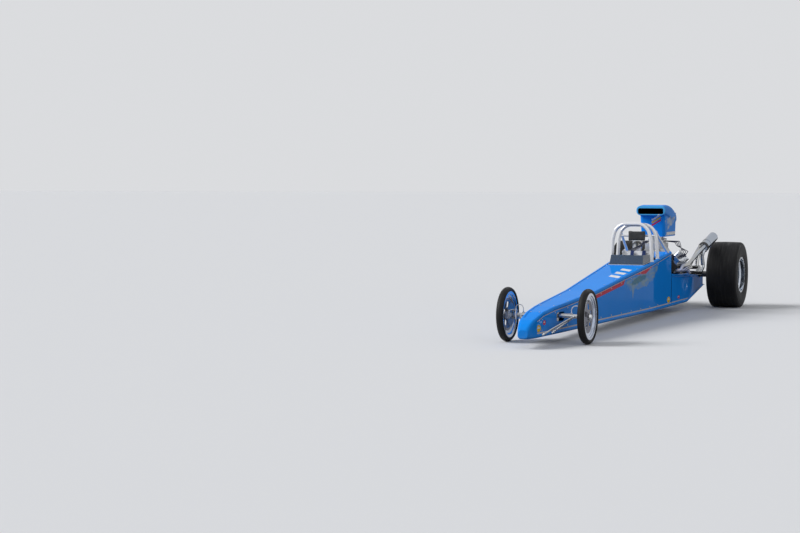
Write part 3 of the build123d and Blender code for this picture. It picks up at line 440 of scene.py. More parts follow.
@dataclass(frozen=True)
class SidePaint(GlossPaint):
    """The side panels' paint: pinstripes along both edges, a red stripe and a torn silver sweep."""

    line_width: float = 0.006
    stripe_depth: float = 0.045
    stripe_start: float = 0.98
    stripe_end: float = 3.30
    gap_start: float = 2.20
    gap_end: float = 2.52

    def colour_map(self, recipe: Recipe) -> Signal:
        """Blue with the painted lines over it.

        Args:
            recipe: The material in the making.

        Returns:
            The colour before the dust.
        """
        back = behind(recipe)
        runs = [(back - start) * ((high - low) / (end - start)) + low
                for (start, low), (end, high) in zip(UPPER_RAIL, UPPER_RAIL[1:])]
        ahead = recipe.math("MINIMUM", recipe.math("MINIMUM", runs[0], runs[1]), runs[2])
        top = recipe.math("MAXIMUM", ahead, runs[3]) - RAIL_RADIUS + 0.004
        below = top - recipe.z
        ragged = recipe.noise(14.0, 3.0) - 0.5

        depth = self.stripe_depth + 0.006 * (back - 1.2)
        stripe = (depth - below).rises(-0.0008, 0.0008)
        stripe = stripe * back.rises(self.stripe_start, self.stripe_start + 0.002)
        slant = back + 1.2 * below
        stripe = stripe * slant.rises(self.gap_start, self.gap_start - 0.002)
        opens, closes = (back - self.gap_end) * 0.115, (self.stripe_end - back) * 0.17
        wedge = recipe.math("MINIMUM", opens, closes) - below
        stripe = recipe.math("MAXIMUM", stripe, wedge.rises(-0.0008, 0.0008))
        colour = self.smoky(recipe, back, below, ragged)
        colour = recipe.mix(stripe, colour, RED)
        top_line = (self.line_width - below).rises(-0.0006, 0.0006)
        low_line = recipe.z.rises(PANEL_BOTTOM + 0.013, PANEL_BOTTOM + 0.012)
        colour = recipe.mix(recipe.math("MAXIMUM", top_line, low_line), colour, SILVER)
        return with_stickers(recipe, colour)

    def smoky(self, recipe: Recipe, back: Signal, below: Signal, ragged: Signal) -> Signal:
        """Blue with a torn silver cloud under the red wedge, its dark heart, and a tongue down from it.

        Args:
            recipe: The material in the making.
            back: How far behind the front axle a point lies.
            below: How far it lies under the panel's top edge.
            ragged: The noise that tears its outline.

        Returns:
            The colour under the painted lines.
        """
        wisps = recipe.noise(1.0, 4.0, recipe.vector(recipe.x * 8.0, recipe.y * 7.0, recipe.z * 22.0))
        far, down = back - 2.95, below - 0.030
        length = recipe.math("MAXIMUM", far / 0.56, far / -0.78)
        reach = recipe.math("SQRT", length * length + down * down / 0.030) + 0.5 * ragged
        cloud = reach.rises(1.02, 0.86) * down.rises(-0.028, 0.02)
        heart_far, heart_down = (back - 2.72) / 0.36, (below - 0.082) / 0.045
        heart = recipe.reach(heart_far, heart_down) + 0.9 * ragged
        wide = recipe.math("MAXIMUM", recipe.z - 0.280, 0.0) * 0.42
        tongue = (wide + 0.05 * ragged - abs(back - 2.49)).rises(0.0, 0.014) * recipe.z.rises(0.50, 0.44)
        tongue = tongue * recipe.z.rises(0.280, 0.300)
        cloud = recipe.math("MAXIMUM", cloud * (0.45 + 0.55 * wisps.rises(0.35, 0.65)), tongue * 0.8)
        colour = super().colour_map(recipe)
        colour = recipe.mix(cloud * 0.85, colour, SMOKE)
        return recipe.mix(heart.rises(1.0, 0.6) * 0.6, colour, DEEP_TEAL)


@dataclass(frozen=True)
class CowlPaint(GlossPaint):
    """The top panels' paint, with three slanted pale flashes ahead of the screen."""

    flash_start: float = 2.20
    flash_pitch: float = 0.24
    flash_width: float = 0.12
    seam: float = -0.235

    def colour_map(self, recipe: Recipe) -> Signal:
        """Blue with pale flashes on the left of the middle and the seam of the nose piece.

        Args:
            recipe: The material in the making.

        Returns:
            The colour before the dust.
        """
        back = behind(recipe)
        slant = back - self.flash_start + 0.7 * recipe.x
        colour = super().colour_map(recipe)
        lane = recipe.x.between(0.030, 0.168, 0.002)
        for step in range(3):
            start = step * self.flash_pitch
            bar = slant.between(start, start + self.flash_width, 0.002)
            colour = recipe.mix(bar * lane, colour, WHITE)
        seam = abs(back - self.seam - 0.25 * abs(recipe.x)).rises(0.0016, 0.0008)
        return recipe.mix(seam, colour, PALE_SEAM)


@dataclass(frozen=True)
class ScoopPaint(GlossPaint):
    """The scoop's paint: a paler lip that is a painted highlight, a plain badge shape in front and a silver
    sweep on its sides.
    """

    front: float = 4.188
    lip: float = 0.0255
    heart: tuple[float, float] = (4.55, 1.27)

    def inside(self, recipe: Recipe) -> Signal:
        """1 on the faces that look into the scoop.

        Args:
            recipe: The material in the making.

        Returns:
            The switch, as a signal.
        """
        normal = recipe.node("ShaderNodeNewGeometry", output="Normal")
        heart = (0.0, self.heart[0] + FRONT_AXLE_BACK, self.heart[1])
        away = recipe.node("ShaderNodeVectorMath", {"operation": "SUBTRACT"}, {0: recipe.place, 1: heart})
        inputs = {0: normal, 1: away}
        facing = recipe.node("ShaderNodeVectorMath", {"operation": "DOT_PRODUCT"}, inputs, output="Value")
        return facing.rises(0.004, -0.004)

    def shine(self, recipe: Recipe) -> Signal | float:
        """No clear coat inside."""
        return 1 - self.inside(recipe)

    def colour_map(self, recipe: Recipe) -> Signal:
        """Blue with the lip's painted highlight, the chevrons, the sweep and the inside painted near black
        as painted shade.

        Args:
            recipe: The material in the making.

        Returns:
            The colour before the dust.
        """
        back = behind(recipe)
        ragged = recipe.noise(16.0, 3.0) - 0.5
        colour = super().colour_map(recipe)
        # The front lip is painted a paler blue: a painted highlight for the light its rounded edge catches.
        lip = back.rises(self.front + self.lip, self.front + self.lip - 0.001)
        colour = recipe.mix(lip, colour, LIP_HIGHLIGHT_BLUE)
        side = abs(recipe.x).rises(0.148, 0.150) * recipe.z.rises(1.215, 1.205)
        wisps = recipe.noise(1.0, 4.0, recipe.vector(recipe.x * 8.0, recipe.y * 9.0, recipe.z * 26.0))
        sweep = (recipe.z - (back - 4.35) * 0.35 - 0.99 - 0.12 * ragged).rises(0.0, 0.02)
        sweep = sweep * (1.20 - recipe.z + 0.1 * ragged).rises(0.0, 0.02) * side
        sweep = sweep * (back + 0.5 * ragged + 0.3 * (recipe.z - 1.1)).rises(4.38, 4.43)
        sweep = sweep * (0.30 + 0.70 * wisps.rises(0.38, 0.62))
        colour = recipe.mix(sweep * 0.85, colour, SWEEP_SILVER)
        foot = recipe.z.between(0.966, 1.008, 0.002) * back.rises(4.40, 4.402) * side
        colour = recipe.mix(foot, colour, WHITE)
        face = back.rises(4.36, 4.355)
        rise = recipe.z - abs(recipe.x) * 0.6
        for low, tint in ((1.085, RED), (1.118, YELLOW), (1.151, WHITE)):
            bar = rise.between(low, low + 0.022, 0.001)
            colour = recipe.mix(bar * face * abs(recipe.x - 0.05).rises(0.060, 0.059), colour, tint)
        # The faces inside the scoop are painted near black: painted shade of its deep mouth.
        return recipe.mix(self.inside(recipe), colour, (0.006, 0.006, 0.007))


@dataclass(frozen=True)
class BrushedMetal(Finish):
    """Metal with fine straight marks along the car or across it."""

    metallic: float = 1.0
    roughness: float = 0.32
    stretch: Point = (900.0, 24.0, 900.0)

    def work(self, recipe: Recipe) -> None:
        """Add the marks, stains and a faint dulling.

        Args:
            recipe: The material in the making.
        """
        marks = recipe.noise(1.0, 3.0, recipe.node(
            "ShaderNodeVectorMath", {"operation": "MULTIPLY"}, {0: recipe.place, 1: self.stretch}))
        stain = recipe.noise(7.0, 4.0)
        recipe.set(base_color=self.shaded(recipe, stain, 0.12),
                   roughness=self.roughness + 0.22 * (marks - 0.5) + 0.16 * stain.rises(0.5, 0.75))
        recipe.bump(marks, 0.00008, 0.5)


@dataclass(frozen=True)
class TurnedMetal(Finish):
    """Metal spun or turned about a wheel's axle, its fine marks in rings."""

    axle: tuple[float, float] = (0.0, 0.0)
    metallic: float = 1.0
    roughness: float = 0.12
    rings: float = 900.0
    dish: tuple[float, float] = (0.0, 0.0)
    dish_colour: Colour = (0.15, 0.15, 0.18)

    def work(self, recipe: Recipe) -> None:
        """Add the rings, the brake dust and a darker dish between hub and barrel.

        Args:
            recipe: The material in the making.
        """
        reach = recipe.reach(recipe.y - self.axle[0], recipe.z - self.axle[1])
        rings = recipe.noise(1.0, 2.0, recipe.vector(reach * self.rings, recipe.x * self.rings, 0.0))
        stain = recipe.noise(26.0, 4.0)
        colour = self.shaded(recipe, stain, 0.10)
        rough = self.roughness + 0.10 * (rings - 0.5) + 0.14 * stain.rises(0.5, 0.7)
        # The dish between hub and barrel is painted darker.
        if self.dish[1]:
            start, end = self.dish
            dark = reach.rises(start, start + 0.003) * reach.rises(end, end - 0.004)
            colour = recipe.mix(dark, colour, self.dish_colour)
            rough = rough + 0.16 * dark
        recipe.set(base_color=colour, roughness=rough)
        recipe.bump(rings, 0.00005, 0.35)


@dataclass(frozen=True)
class HotChrome(Finish):
    """Chromed tube that straw and blue tints colour near the ports."""

    metallic: float = 1.0
    roughness: float = 0.09
    port_out: float = 0.30
    fade: float = 0.16

    def work(self, recipe: Recipe) -> None:
        """Tint by the distance from the ports and dull the hottest stretch.

        Args:
            recipe: The material in the making.
        """
        far = (abs(recipe.x) - self.port_out) / self.fade + 0.5 * (recipe.noise(8.0, 3.0) - 0.5)
        straw, blue, dull = (0.34, 0.30, 0.24), (0.26, 0.30, 0.46), (0.50, 0.49, 0.46)
        stops = [(0.0, straw), (1.0, self.colour), (0.32, blue), (0.62, dull)]
        tint = recipe.node("ShaderNodeValToRGB", {"stops": stops}, {"Fac": far})
        rough = self.roughness + 0.20 * far.rises(0.5, 0.0) + 0.08 * recipe.noise(30.0, 3.0)
        recipe.set(base_color=tint, roughness=rough)
        recipe.bump(recipe.noise(60.0, 2.0), 0.0001, 0.3)


@dataclass(frozen=True)
class TyreRubber(Finish):
    """Tyre rubber: moulded rings on the sidewall, scuffs and dust on the tread."""

    roughness: float = 0.62
    axle: tuple[float, float] = (0.0, 0.0)
    radius: float = 0.4
    half: float = 0.2
    wall_start: float = 0.04
    ribs: float = 190.0
    grooved: bool = False

    def work(self, recipe: Recipe) -> None:
        """Add rings by the distance from the axle and streaks round the tread.

        Args:
            recipe: The material in the making.
        """
        across, up = recipe.y - self.axle[0], recipe.z - self.axle[1]
        reach, turn = recipe.reach(across, up), recipe.math("ARCTAN2", across, up)
        tread = reach.rises(self.radius - self.wall_start, self.radius - self.wall_start * 0.6)
        rings = recipe.math("SINE", reach * self.ribs * 2 * math.pi)
        band = reach.rises(self.radius - 2.6 * self.wall_start, self.radius - 2.5 * self.wall_start)
        wall = rings.rises(0.2, 0.9) * (1 - tread) * (1 - band)
        streaks = recipe.noise(1.0, 4.0, recipe.vector(recipe.x * 46.0, turn * 2.2, 0.0))
        grit = recipe.noise(340.0, 3.0)
        worn = streaks.rises(0.42, 0.72) * tread
        dusty = recipe.noise(11.0, 3.0).rises(0.45, 0.8) * (1 - tread) * 0.5
        colour = recipe.mix(worn * 0.30, self.colour, (0.026, 0.026, 0.026))
        colour = recipe.mix(dusty, colour, (0.024, 0.023, 0.021))
        recipe.set(base_color=colour, roughness=self.roughness - 0.22 * worn + 0.12 * dusty)
        recipe.shader.inputs["Specular IOR Level"].default_value = 0.22
        height = 0.30 * wall + 0.16 * grit + 0.10 * streaks * tread
        if self.grooved:
            side = abs(recipe.x) - self.half
            for place in (-0.012, 0.0, 0.012):
                groove = abs(side - place).rises(0.0014, 0.0022)
                height = height - 0.55 * (1 - groove) * tread
        recipe.bump(height, 0.0016, 0.8)


@dataclass(frozen=True)
class Woven(Finish):
    """Cloth or webbing with two crossed sets of threads."""

    roughness: float = 0.88
    threads: tuple[float, float] = (520.0, 420.0)

    def work(self, recipe: Recipe) -> None:
        """Cross two sets of threads and fade the colour a little.

        Args:
            recipe: The material in the making.
        """
        warp = recipe.math("SINE", recipe.x * self.threads[0] * 2 * math.pi)
        weft = recipe.math("SINE", (recipe.y + recipe.z) * self.threads[1] * 2 * math.pi + warp * 0.7)
        cloud = recipe.noise(12.0, 3.0)
        recipe.set(base_color=self.shaded(recipe, cloud, 0.25), roughness=self.roughness)
        recipe.bump(warp * weft * 0.5 + 0.5, 0.0005, 0.8)


@dataclass(frozen=True)
class Vinyl(Finish):
    """Grained seat cover."""

    roughness: float = 0.55

    def work(self, recipe: Recipe) -> None:
        """Add the leather-like cells and worn, shinier patches.

        Args:
            recipe: The material in the making.
        """
        cells = recipe.node("ShaderNodeTexVoronoi", inputs={"Vector": recipe.place, "Scale": 520.0})
        worn = recipe.noise(9.0, 3.0).rises(0.45, 0.75)
        recipe.set(base_color=recipe.mix(worn, self.colour, (0.055, 0.055, 0.058)),
                   roughness=self.roughness - 0.16 * worn)
        recipe.bump(cells, 0.0005, 0.7)


@dataclass(frozen=True)
class TintedScreen(Finish):
    """Clear tinted sheet with light scratches."""

    roughness: float = 0.05
    clearness: float = 0.80

    def work(self, recipe: Recipe) -> None:
        """Let light through, less where it is scratched.

        Args:
            recipe: The material in the making.
        """
        scratch = recipe.noise(1.0, 4.0, recipe.vector(recipe.x * 30.0, recipe.y * 30.0, recipe.z * 340.0))
        recipe.set(alpha=self.clearness + 0.10 * scratch, coat_weight=1.0,
                   roughness=self.roughness + 0.12 * scratch.rises(0.55, 0.8))
        recipe.bump(scratch, 0.00004, 0.2)


class Side(Enum):
    """The car's two sides, by the sign of X."""

    LEFT = 1
    RIGHT = -1

    @property
    def word(self) -> str:
        """The side as it stands in names."""
        return self.name.lower()


class Bench:
    """Where pieces are made with Blender's own operators, as by hand."""

    @staticmethod
    def clear() -> None:
        """Leave edit mode and deselect everything."""
        if bpy.context.object and bpy.context.object.mode != "OBJECT":
            bpy.ops.object.mode_set(mode="OBJECT")
        bpy.ops.object.select_all(action="DESELECT")

    @staticmethod
    def pick(*pieces: Piece) -> None:
        """Select these pieces alone, the first of them active.

        Args:
            *pieces: The pieces.
        """
        Bench.clear()
        for piece in pieces:
            piece.select_set(True)
        bpy.context.view_layer.objects.active = pieces[0]

    @staticmethod
    def settle(piece: Piece) -> Piece:
        """Put a piece's place into its mesh, so that its object sits at the origin.

        Args:
            piece: The piece.

        Returns:
            The same piece.
        """
        Bench.pick(piece)
        bpy.ops.object.transform_apply(location=True, rotation=True, scale=True)
        return piece

    @staticmethod
    def modify(piece: Piece, kind: str, **settings: object) -> Piece:
        """Add a modifier and apply it.

        Args:
            piece: The mesh to change.
            kind: The modifier's type.
            **settings: The modifier's settings by name.

        Returns:
            The same piece.
        """
        Bench.pick(piece)
        modifier = piece.modifiers.new(kind.title(), kind)
        for name, value in settings.items():
            setattr(modifier, name, value)
        bpy.ops.object.modifier_apply(modifier=modifier.name)
        return piece

    @staticmethod
    def select_faces(piece: Piece, chosen: Callable[[bpy.types.MeshPolygon], bool]) -> None:
        """In edit mode, select the faces that a test chooses.

        Args:
            piece: The mesh to work on.
            chosen: A test on a face, by its place or normal.
        """
        Bench.pick(piece)
        bpy.ops.object.mode_set(mode="EDIT")
        bpy.ops.mesh.select_mode(type="FACE")
        bpy.ops.mesh.select_all(action="DESELECT")
        bpy.ops.object.mode_set(mode="OBJECT")
        for face in piece.data.polygons:
            face.select = chosen(face)
        bpy.ops.object.mode_set(mode="EDIT")

    @staticmethod
    def moved(piece: Piece, place: Matrix | Vector) -> Piece:
        """The piece, with its mesh brought to a place."""
        piece.data.transform(place if isinstance(place, Matrix) else Matrix.Translation(place))
        return piece

    @staticmethod
    def drum(radius: float, height: float, sides: int = 24, edge: float = 0.0) -> Piece:
        """A round or many-sided drum that stands on the origin, its top edge bevelled.

        Args:
            radius: Its radius.
            height: Its height along Z.
            sides: How many sides it has.
            edge: The width of its top bevel.

        Returns:
            The drum.
        """
        Bench.clear()
        middle = (0, 0, height / 2)
        bpy.ops.mesh.primitive_cylinder_add(vertices=sides, radius=radius, depth=height, location=middle)
        piece = Bench.settle(bpy.context.object)
        if edge:
            Bench.select_faces(piece, lambda face: face.normal.z > 0.9)
            bpy.ops.mesh.bevel(offset=edge, segments=2, affect="EDGES")
            bpy.ops.object.mode_set(mode="OBJECT")
        return piece

    @staticmethod
    def start_point(place: Vector) -> Piece:
        """Start a mesh with one selected point, in edit mode.

        Args:
            place: Where the point is.

        Returns:
            The mesh.
        """
        Bench.clear()
        bpy.ops.mesh.primitive_plane_add(size=0.001)
        piece = bpy.context.object
        bpy.ops.object.mode_set(mode="EDIT")
        bpy.ops.mesh.select_mode(type="VERT")
        bpy.ops.mesh.select_all(action="SELECT")
        bpy.ops.mesh.merge(type="CENTER")
        bpy.ops.transform.translate(value=place)
        return piece

    @staticmethod
    def turned(outline: Sequence[tuple[float, float]], steps: int = 48) -> Piece:
        """A piece turned about Z from an outline.

        Args:
            outline: Its half section as (radius, height), from its foot to its top.
            steps: How many steps the turn has.

        Returns:
            The closed piece.
        """
        (radius, height), *rest = outline
        piece = Bench.start_point(Vector((radius, 0, height)))
        last = (radius, height)
        for radius, height in rest:
            bpy.ops.mesh.extrude_region_move(
                TRANSFORM_OT_translate={"value": (radius - last[0], 0, height - last[1])})
            last = (radius, height)
        bpy.ops.mesh.select_all(action="SELECT")
        bpy.ops.mesh.spin(steps=steps, angle=2 * math.pi, center=(0, 0, 0), axis=(0, 0, 1))
        bpy.ops.mesh.select_all(action="SELECT")
        bpy.ops.mesh.remove_doubles(threshold=0.00001)
        bpy.ops.mesh.normals_make_consistent(inside=False)
        bpy.ops.object.mode_set(mode="OBJECT")
        return piece

    @staticmethod
    def slab(size: Point, edge: float = 0.001, segments: int = 2) -> Piece:
        """A box with rounded edges, its middle at the origin.

        Args:
            size: Its three sides.
            edge: The width of its edges' bevel.
            segments: The steps of that bevel.

        Returns:
            The box.
        """
        Bench.clear()
        bpy.ops.mesh.primitive_cube_add(size=1.0)
        piece = bpy.context.object
        piece.scale = size
        Bench.settle(piece)
        return Bench.modify(piece, "BEVEL", width=edge, segments=segments)

    @staticmethod
    def curve(name: str, points: Sequence[Vector], radius: float, smooth: bool = True, sides: int = 4,
              steps: int = 8) -> Piece:
        """A round curve along points, closed at its ends.

        Args:
            name: Its name.
            points: The points that it follows.
            radius: Its radius.
            smooth: Whether it bends smoothly or at corners.
            sides: The resolution of its round section.
            steps: The resolution along it, where it is smooth.

        Returns:
            The curve.
        """
        data = bpy.data.curves.new(name, "CURVE")
        data.dimensions = "3D"
        data.bevel_depth = radius
        data.bevel_resolution = sides
        data.use_fill_caps = True
        spline = data.splines.new("NURBS" if smooth else "POLY")
        spline.points.add(len(points) - 1)
        for knot, point in zip(spline.points, points):
            knot.co = (*point, 1.0)
        if smooth:
            spline.order_u = 3
            spline.use_endpoint_u = True
            spline.resolution_u = steps
        piece = bpy.data.objects.new(name, data)
        bpy.context.collection.objects.link(piece)
        return piece

    @staticmethod
    def pipe(points: Sequence[Vector], radius: float, smooth: bool = True,
             sides: int = 4) -> Piece:
        """A round pipe along points, as a closed mesh.

        Args:
            points: The points that it follows.
            radius: Its radius.
            smooth: Whether it bends smoothly or at corners.
            sides: The resolution of its round section.

        Returns:
            The pipe.
        """
        Bench.pick(Bench.curve("pipe", points, radius, smooth, sides))
        bpy.ops.object.convert(target="MESH")
        return bpy.context.object

    @staticmethod
    def bolt(radius: float, height: float) -> Piece:
        """A six-sided bolt head on its washer, standing on the origin.

        Args:
            radius: The head's radius over its corners.
            height: The head's height.

        Returns:
            The bolt.
        """
        washer = Bench.drum(radius * 1.4, height * 0.22, 18)
        head = Bench.drum(radius, height, 6, edge=radius * 0.12)
        return Bench.join([washer, head])

    @staticmethod
    def button(radius: float, height: float) -> Piece:
        """A flat round fastener with a raised bar across it, standing on the origin.

        Args:
            radius: Its radius.
            height: Its height without the bar.

        Returns:
            The fastener.
        """
        disc = Bench.drum(radius, height, 20, edge=height * 0.3)
        bar = Bench.slab((radius * 1.3, radius * 0.28, height * 0.8), height * 0.2, 1)
        return Bench.join([disc, Bench.moved(bar, UP * height)])

    @staticmethod
    def strap(points: Sequence[Vector], across: Vector, thickness: float) -> Piece:
        """A flat strap that follows points.

        Args:
            points: Its middle line.
            across: The way from its middle line to its edge.
            thickness: Its thickness.

        Returns:
            The closed strap.
        """
        piece = Bench.start_point(points[0] - across)
        bpy.ops.mesh.extrude_region_move(TRANSFORM_OT_translate={"value": 2 * across})
        bpy.ops.mesh.select_all(action="SELECT")
        for before, after in zip(points, points[1:]):
            bpy.ops.mesh.extrude_region_move(TRANSFORM_OT_translate={"value": after - before})
        bpy.ops.object.mode_set(mode="OBJECT")
        return Bench.modify(piece, "SOLIDIFY", thickness=thickness, offset=0.0)

    @staticmethod
    def copies(piece: Piece, places: Sequence[Matrix]) -> list[Piece]:
        """Copies of a piece, each with its own mesh; the model itself goes.

        Args:
            piece: The model.
            places: Where the copies go.

        Returns:
            The copies.
        """
        made = []
        for place in places:
            copy = piece.copy()
            copy.data = piece.data.copy()
            copy.data.transform(place)
            if place.determinant() < 0:
                copy.data.flip_normals()
            bpy.context.collection.objects.link(copy)
            made.append(copy)
        bpy.data.objects.remove(piece)
        return made

    @staticmethod
    def join(pieces: Sequence[Piece]) -> Piece:
        """One mesh out of several.

        Args:
            pieces: The meshes, of which the first takes in the others.

        Returns:
            The joined mesh.
        """
        Bench.pick(*pieces)
        if len(pieces) > 1:
            bpy.ops.object.join()
        return bpy.context.object

    @staticmethod
    def finish(parts: Sequence[Piece], name: str, look: Finish, slot: str, body: str = "root",
               angle: float = 35.0) -> Piece:
        """Join parts to one piece, give it its finish and let it ride on a body.

        Args:
            parts: The finished meshes.
            name: Its name.
            look: Its finish.
            slot: The record's material slot. Not used.
            body: The body that it moves with.
            angle: Edges sharper than this, in degrees, stay sharp.

        Returns:
            The piece.
        """
        piece = Bench.settle(Bench.join(parts))
        piece.name = name
        piece.data.name = name
        piece.data.materials.clear()
        piece.data.materials.append(look.material())
        bpy.ops.object.shade_smooth_by_angle(angle=math.radians(angle))
        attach(piece, body)
        log.info("%s: %d faces", name, len(piece.data.polygons))
        return piece


@dataclass
class Studio:
    """Camera, floor and soft light, none of it part of the car."""

    camera_place: Point = (5.3845, -16.9859, 1.6565)
    camera_yaw: float = 22.415
    camera_pitch: float = 2.834
    lens: float = 78.75
    floor_size: float = 400.0
    floor_colour: Colour = (0.74, 0.75, 0.77)
    road_colour: Colour = (0.16, 0.16, 0.17)
    surround: float = 0.50
    seen_surround: float = 0.955
    key_strength: float = 2.6
    fill_strength: float = 0.40

    def build(self) -> None:
        """Set the camera, the floor and the lamps."""
        bpy.context.scene.view_settings.view_transform = "Standard"
        self.set_camera()
        self.set_floor()
        self.set_light()

    def set_camera(self) -> None:
        """Stand the camera where the photograph was taken from."""
        data = bpy.data.cameras.new("camera")
        data.lens = self.lens
        data.sensor_width = 36.0
        data.sensor_fit = "HORIZONTAL"
        data.clip_end = 1000.0
        camera = bpy.data.objects.new("camera", data)
        bpy.context.collection.objects.link(camera)
        camera.location = at(*self.camera_place)
        camera.rotation_euler = (math.radians(90 - self.camera_pitch), 0, math.radians(self.camera_yaw))
        bpy.context.scene.camera = camera

    def set_floor(self) -> None:
        """Lay a plain pale floor that reaches the horizon and throws up no more light than a road."""
        Bench.clear()
        bpy.ops.mesh.primitive_plane_add(size=self.floor_size)
        floor = bpy.context.object
        floor.name = "floor"
        recipe = Recipe("pale_floor")
        seen = recipe.directly_seen()
        recipe.set(base_color=recipe.mix(seen, self.road_colour, self.floor_colour), roughness=0.9)
        recipe.shader.inputs["Specular IOR Level"].default_value = 0.1
        floor.data.materials.append(recipe.material)

    def set_light(self) -> None:
        """Light the car by a broad key lamp, a weak fill and an even surround."""
        # columns: name, strength, spread in degrees, where it shines from
        lamps = (("key", self.key_strength, 32.0, (-0.80, -0.42, 0.66)),
                 ("fill", self.fill_strength, 60.0, (0.75, -0.5, 0.5)))
        for name, strength, spread, source in lamps:
            data = bpy.data.lights.new(name, "SUN")
            data.energy = strength
            data.angle = math.radians(spread)
            lamp = bpy.data.objects.new(name, data)
            bpy.context.collection.objects.link(lamp)
            lamp.rotation_euler = Vector(source).to_track_quat("Z", "Y").to_euler()
        world = bpy.data.worlds.new("surround")
        bpy.context.scene.world = world
        world.use_nodes = True
        nodes = Nodes(world.node_tree)
        inputs = {"Value": nodes.directly_seen(), "To Min": self.surround, "To Max": self.seen_surround}
        strength = nodes.node("ShaderNodeMapRange", inputs=inputs)
        background = world.node_tree.nodes["Background"]
        background.inputs["Color"].default_value = (*self.floor_colour, 1.0)
        world.node_tree.links.new(strength.socket, background.inputs["Strength"])


BLUE = (0.008, 0.265, 0.880)
CAGE_WHITE = (0.72, 0.73, 0.75)
FRONT_OUT, REAR_OUT = 0.426, 0.639
FRONT_AXLE = (FRONT_AXLE_BACK, 0.280)
REAR_AXLE = (FRONT_AXLE_BACK + 5.715, 0.425)
ACROSS = (30, 900, 900)


def cast(name: str, colour: Colour, roughness: float, grain_depth: float) -> Finish:
    """Bare cast metal with a sandy grain."""
    return Finish(name, colour, metallic=1.0, roughness=roughness, grain_depth=grain_depth)


# columns: nodes, their finish
NODE_LOOKS = (
    ("upper_rails lower_rails", GlossPaint("rail_paint", BLUE)),
    ("nose_shell", NosePaint("nose_paint", BLUE)),
    ("top_panels", CowlPaint("cowl_paint", BLUE)),
    ("side_panels tail_panels axle_side_panels", SidePaint("side_paint", BLUE)),
    ("scoop", ScoopPaint("scoop_paint", BLUE)),
    ("roll_hoops cage_bars", GlossPaint("white_paint", CAGE_WHITE, dust_height=0.1)),
    ("frame_tubes", Finish("black_tube_paint", (0.022, 0.022, 0.025), roughness=0.42, coat=0.3)),
    ("rear_axle_housing", Finish("black_axle_paint", (0.020, 0.020, 0.022), roughness=0.38, coat=0.4)),
    ("belly_pan", BrushedMetal("sheet_aluminium", (0.60, 0.61, 0.63), roughness=0.38)),
    ("bulkheads", BrushedMetal("sheet_aluminium_cross", (0.60, 0.61, 0.63), roughness=0.38,
                               stretch=(24, 900, 900))),
    ("seat_shell", BrushedMetal("seat_aluminium", (0.58, 0.59, 0.61), roughness=0.36,
                                stretch=(900, 40, 40))),
    ("steering_wheel", BrushedMetal("wheel_aluminium", (0.50, 0.51, 0.53), roughness=0.34)),
    ("steering_box", cast("cast_aluminium", (0.48, 0.49, 0.50), 0.5, 0.0006)),
    ("intake_manifold", cast("cast_intake", (0.50, 0.51, 0.52), 0.48, 0.0006)),
    ("gearbox", cast("cast_gearbox", (0.44, 0.45, 0.46), 0.5, 0.0007)),
    ("carburettors", cast("bright_castings", (0.62, 0.62, 0.60), 0.3, 0.0004)),
    ("motor_plates", BrushedMetal("plate_aluminium", (0.56, 0.57, 0.58), roughness=0.36, stretch=ACROSS)),
    ("windshield", TintedScreen("dark_blue_screen", (0.012, 0.045, 0.095))),
    ("front_axle tie_rod", BrushedMetal("axle_steel", (0.62, 0.63, 0.64), roughness=0.22, stretch=ACROSS)),
    ("axle_plates tow_tabs", BrushedMetal("plate_steel", (0.42, 0.43, 0.44), roughness=0.4)),
    ("knuckle_left knuckle_right", BrushedMetal("knuckle_steel", (0.50, 0.51, 0.52), roughness=0.32)),
    ("front_drive", BrushedMetal("drive_aluminium", (0.66, 0.67, 0.68), roughness=0.24)),
    ("engine_block cylinder_heads", Finish("black_iron", (0.020, 0.021, 0.023), roughness=0.55, coat=0.15,
                                           grain=190.0, grain_depth=0.0009)),
    ("valve_covers", BrushedMetal("cover_chrome", (0.56, 0.60, 0.66), roughness=0.10, stretch=(60, 60, 60))),
    ("exhaust_headers", HotChrome("header_chrome", (0.46, 0.50, 0.56))),
    ("seat_pads", Vinyl("seat_vinyl", (0.020, 0.021, 0.024))),
    ("ignition", Finish("lead_rubber", (0.018, 0.022, 0.050), roughness=0.42, coat=0.2)),
    ("front_tyre_left front_tyre_right", TyreRubber(
        "front_rubber", (0.008, 0.008, 0.009), axle=FRONT_AXLE, radius=0.280, half=FRONT_OUT,
        wall_start=0.022, ribs=260.0, grooved=True)),
    ("rear_tyre_left rear_tyre_right", TyreRubber(
        "rear_rubber", (0.004, 0.004, 0.005), axle=REAR_AXLE, radius=0.425, half=REAR_OUT,
        wall_start=0.050, ribs=120.0)),
    ("front_rim_left front_rim_right", TurnedMetal(
        "front_rim_polish", (0.56, 0.60, 0.68), axle=FRONT_AXLE, dish=(0.036, 0.172))),
    ("rear_rim_left rear_rim_right", TurnedMetal(
        "rear_rim_polish", (0.66, 0.70, 0.76), axle=REAR_AXLE, dish=(0.060, 0.165),
        dish_colour=(0.30, 0.31, 0.33))),
    ("front_rotor_left front_rotor_right", TurnedMetal(
        "rotor_steel", (0.20, 0.20, 0.21), axle=FRONT_AXLE, roughness=0.3, rings=1500.0)),
)


@dataclass
class Paintwork:
    """The finishes of the CAD nodes."""

    looks: tuple[tuple[str, Finish], ...] = NODE_LOOKS

    def build(self, nodes: dict[str, Piece]) -> None:
        """Give every node its finish.

        Args:
            nodes: The CAD nodes by name.
        """
        for names, look in self.looks:
            for name in names.split():
                node = nodes[name]
                if not node.material_slots:
                    node.data.materials.append(None)
                for slot in node.material_slots:
                    slot.material = look.material()
                log.info("%s: %s", name, look.name)


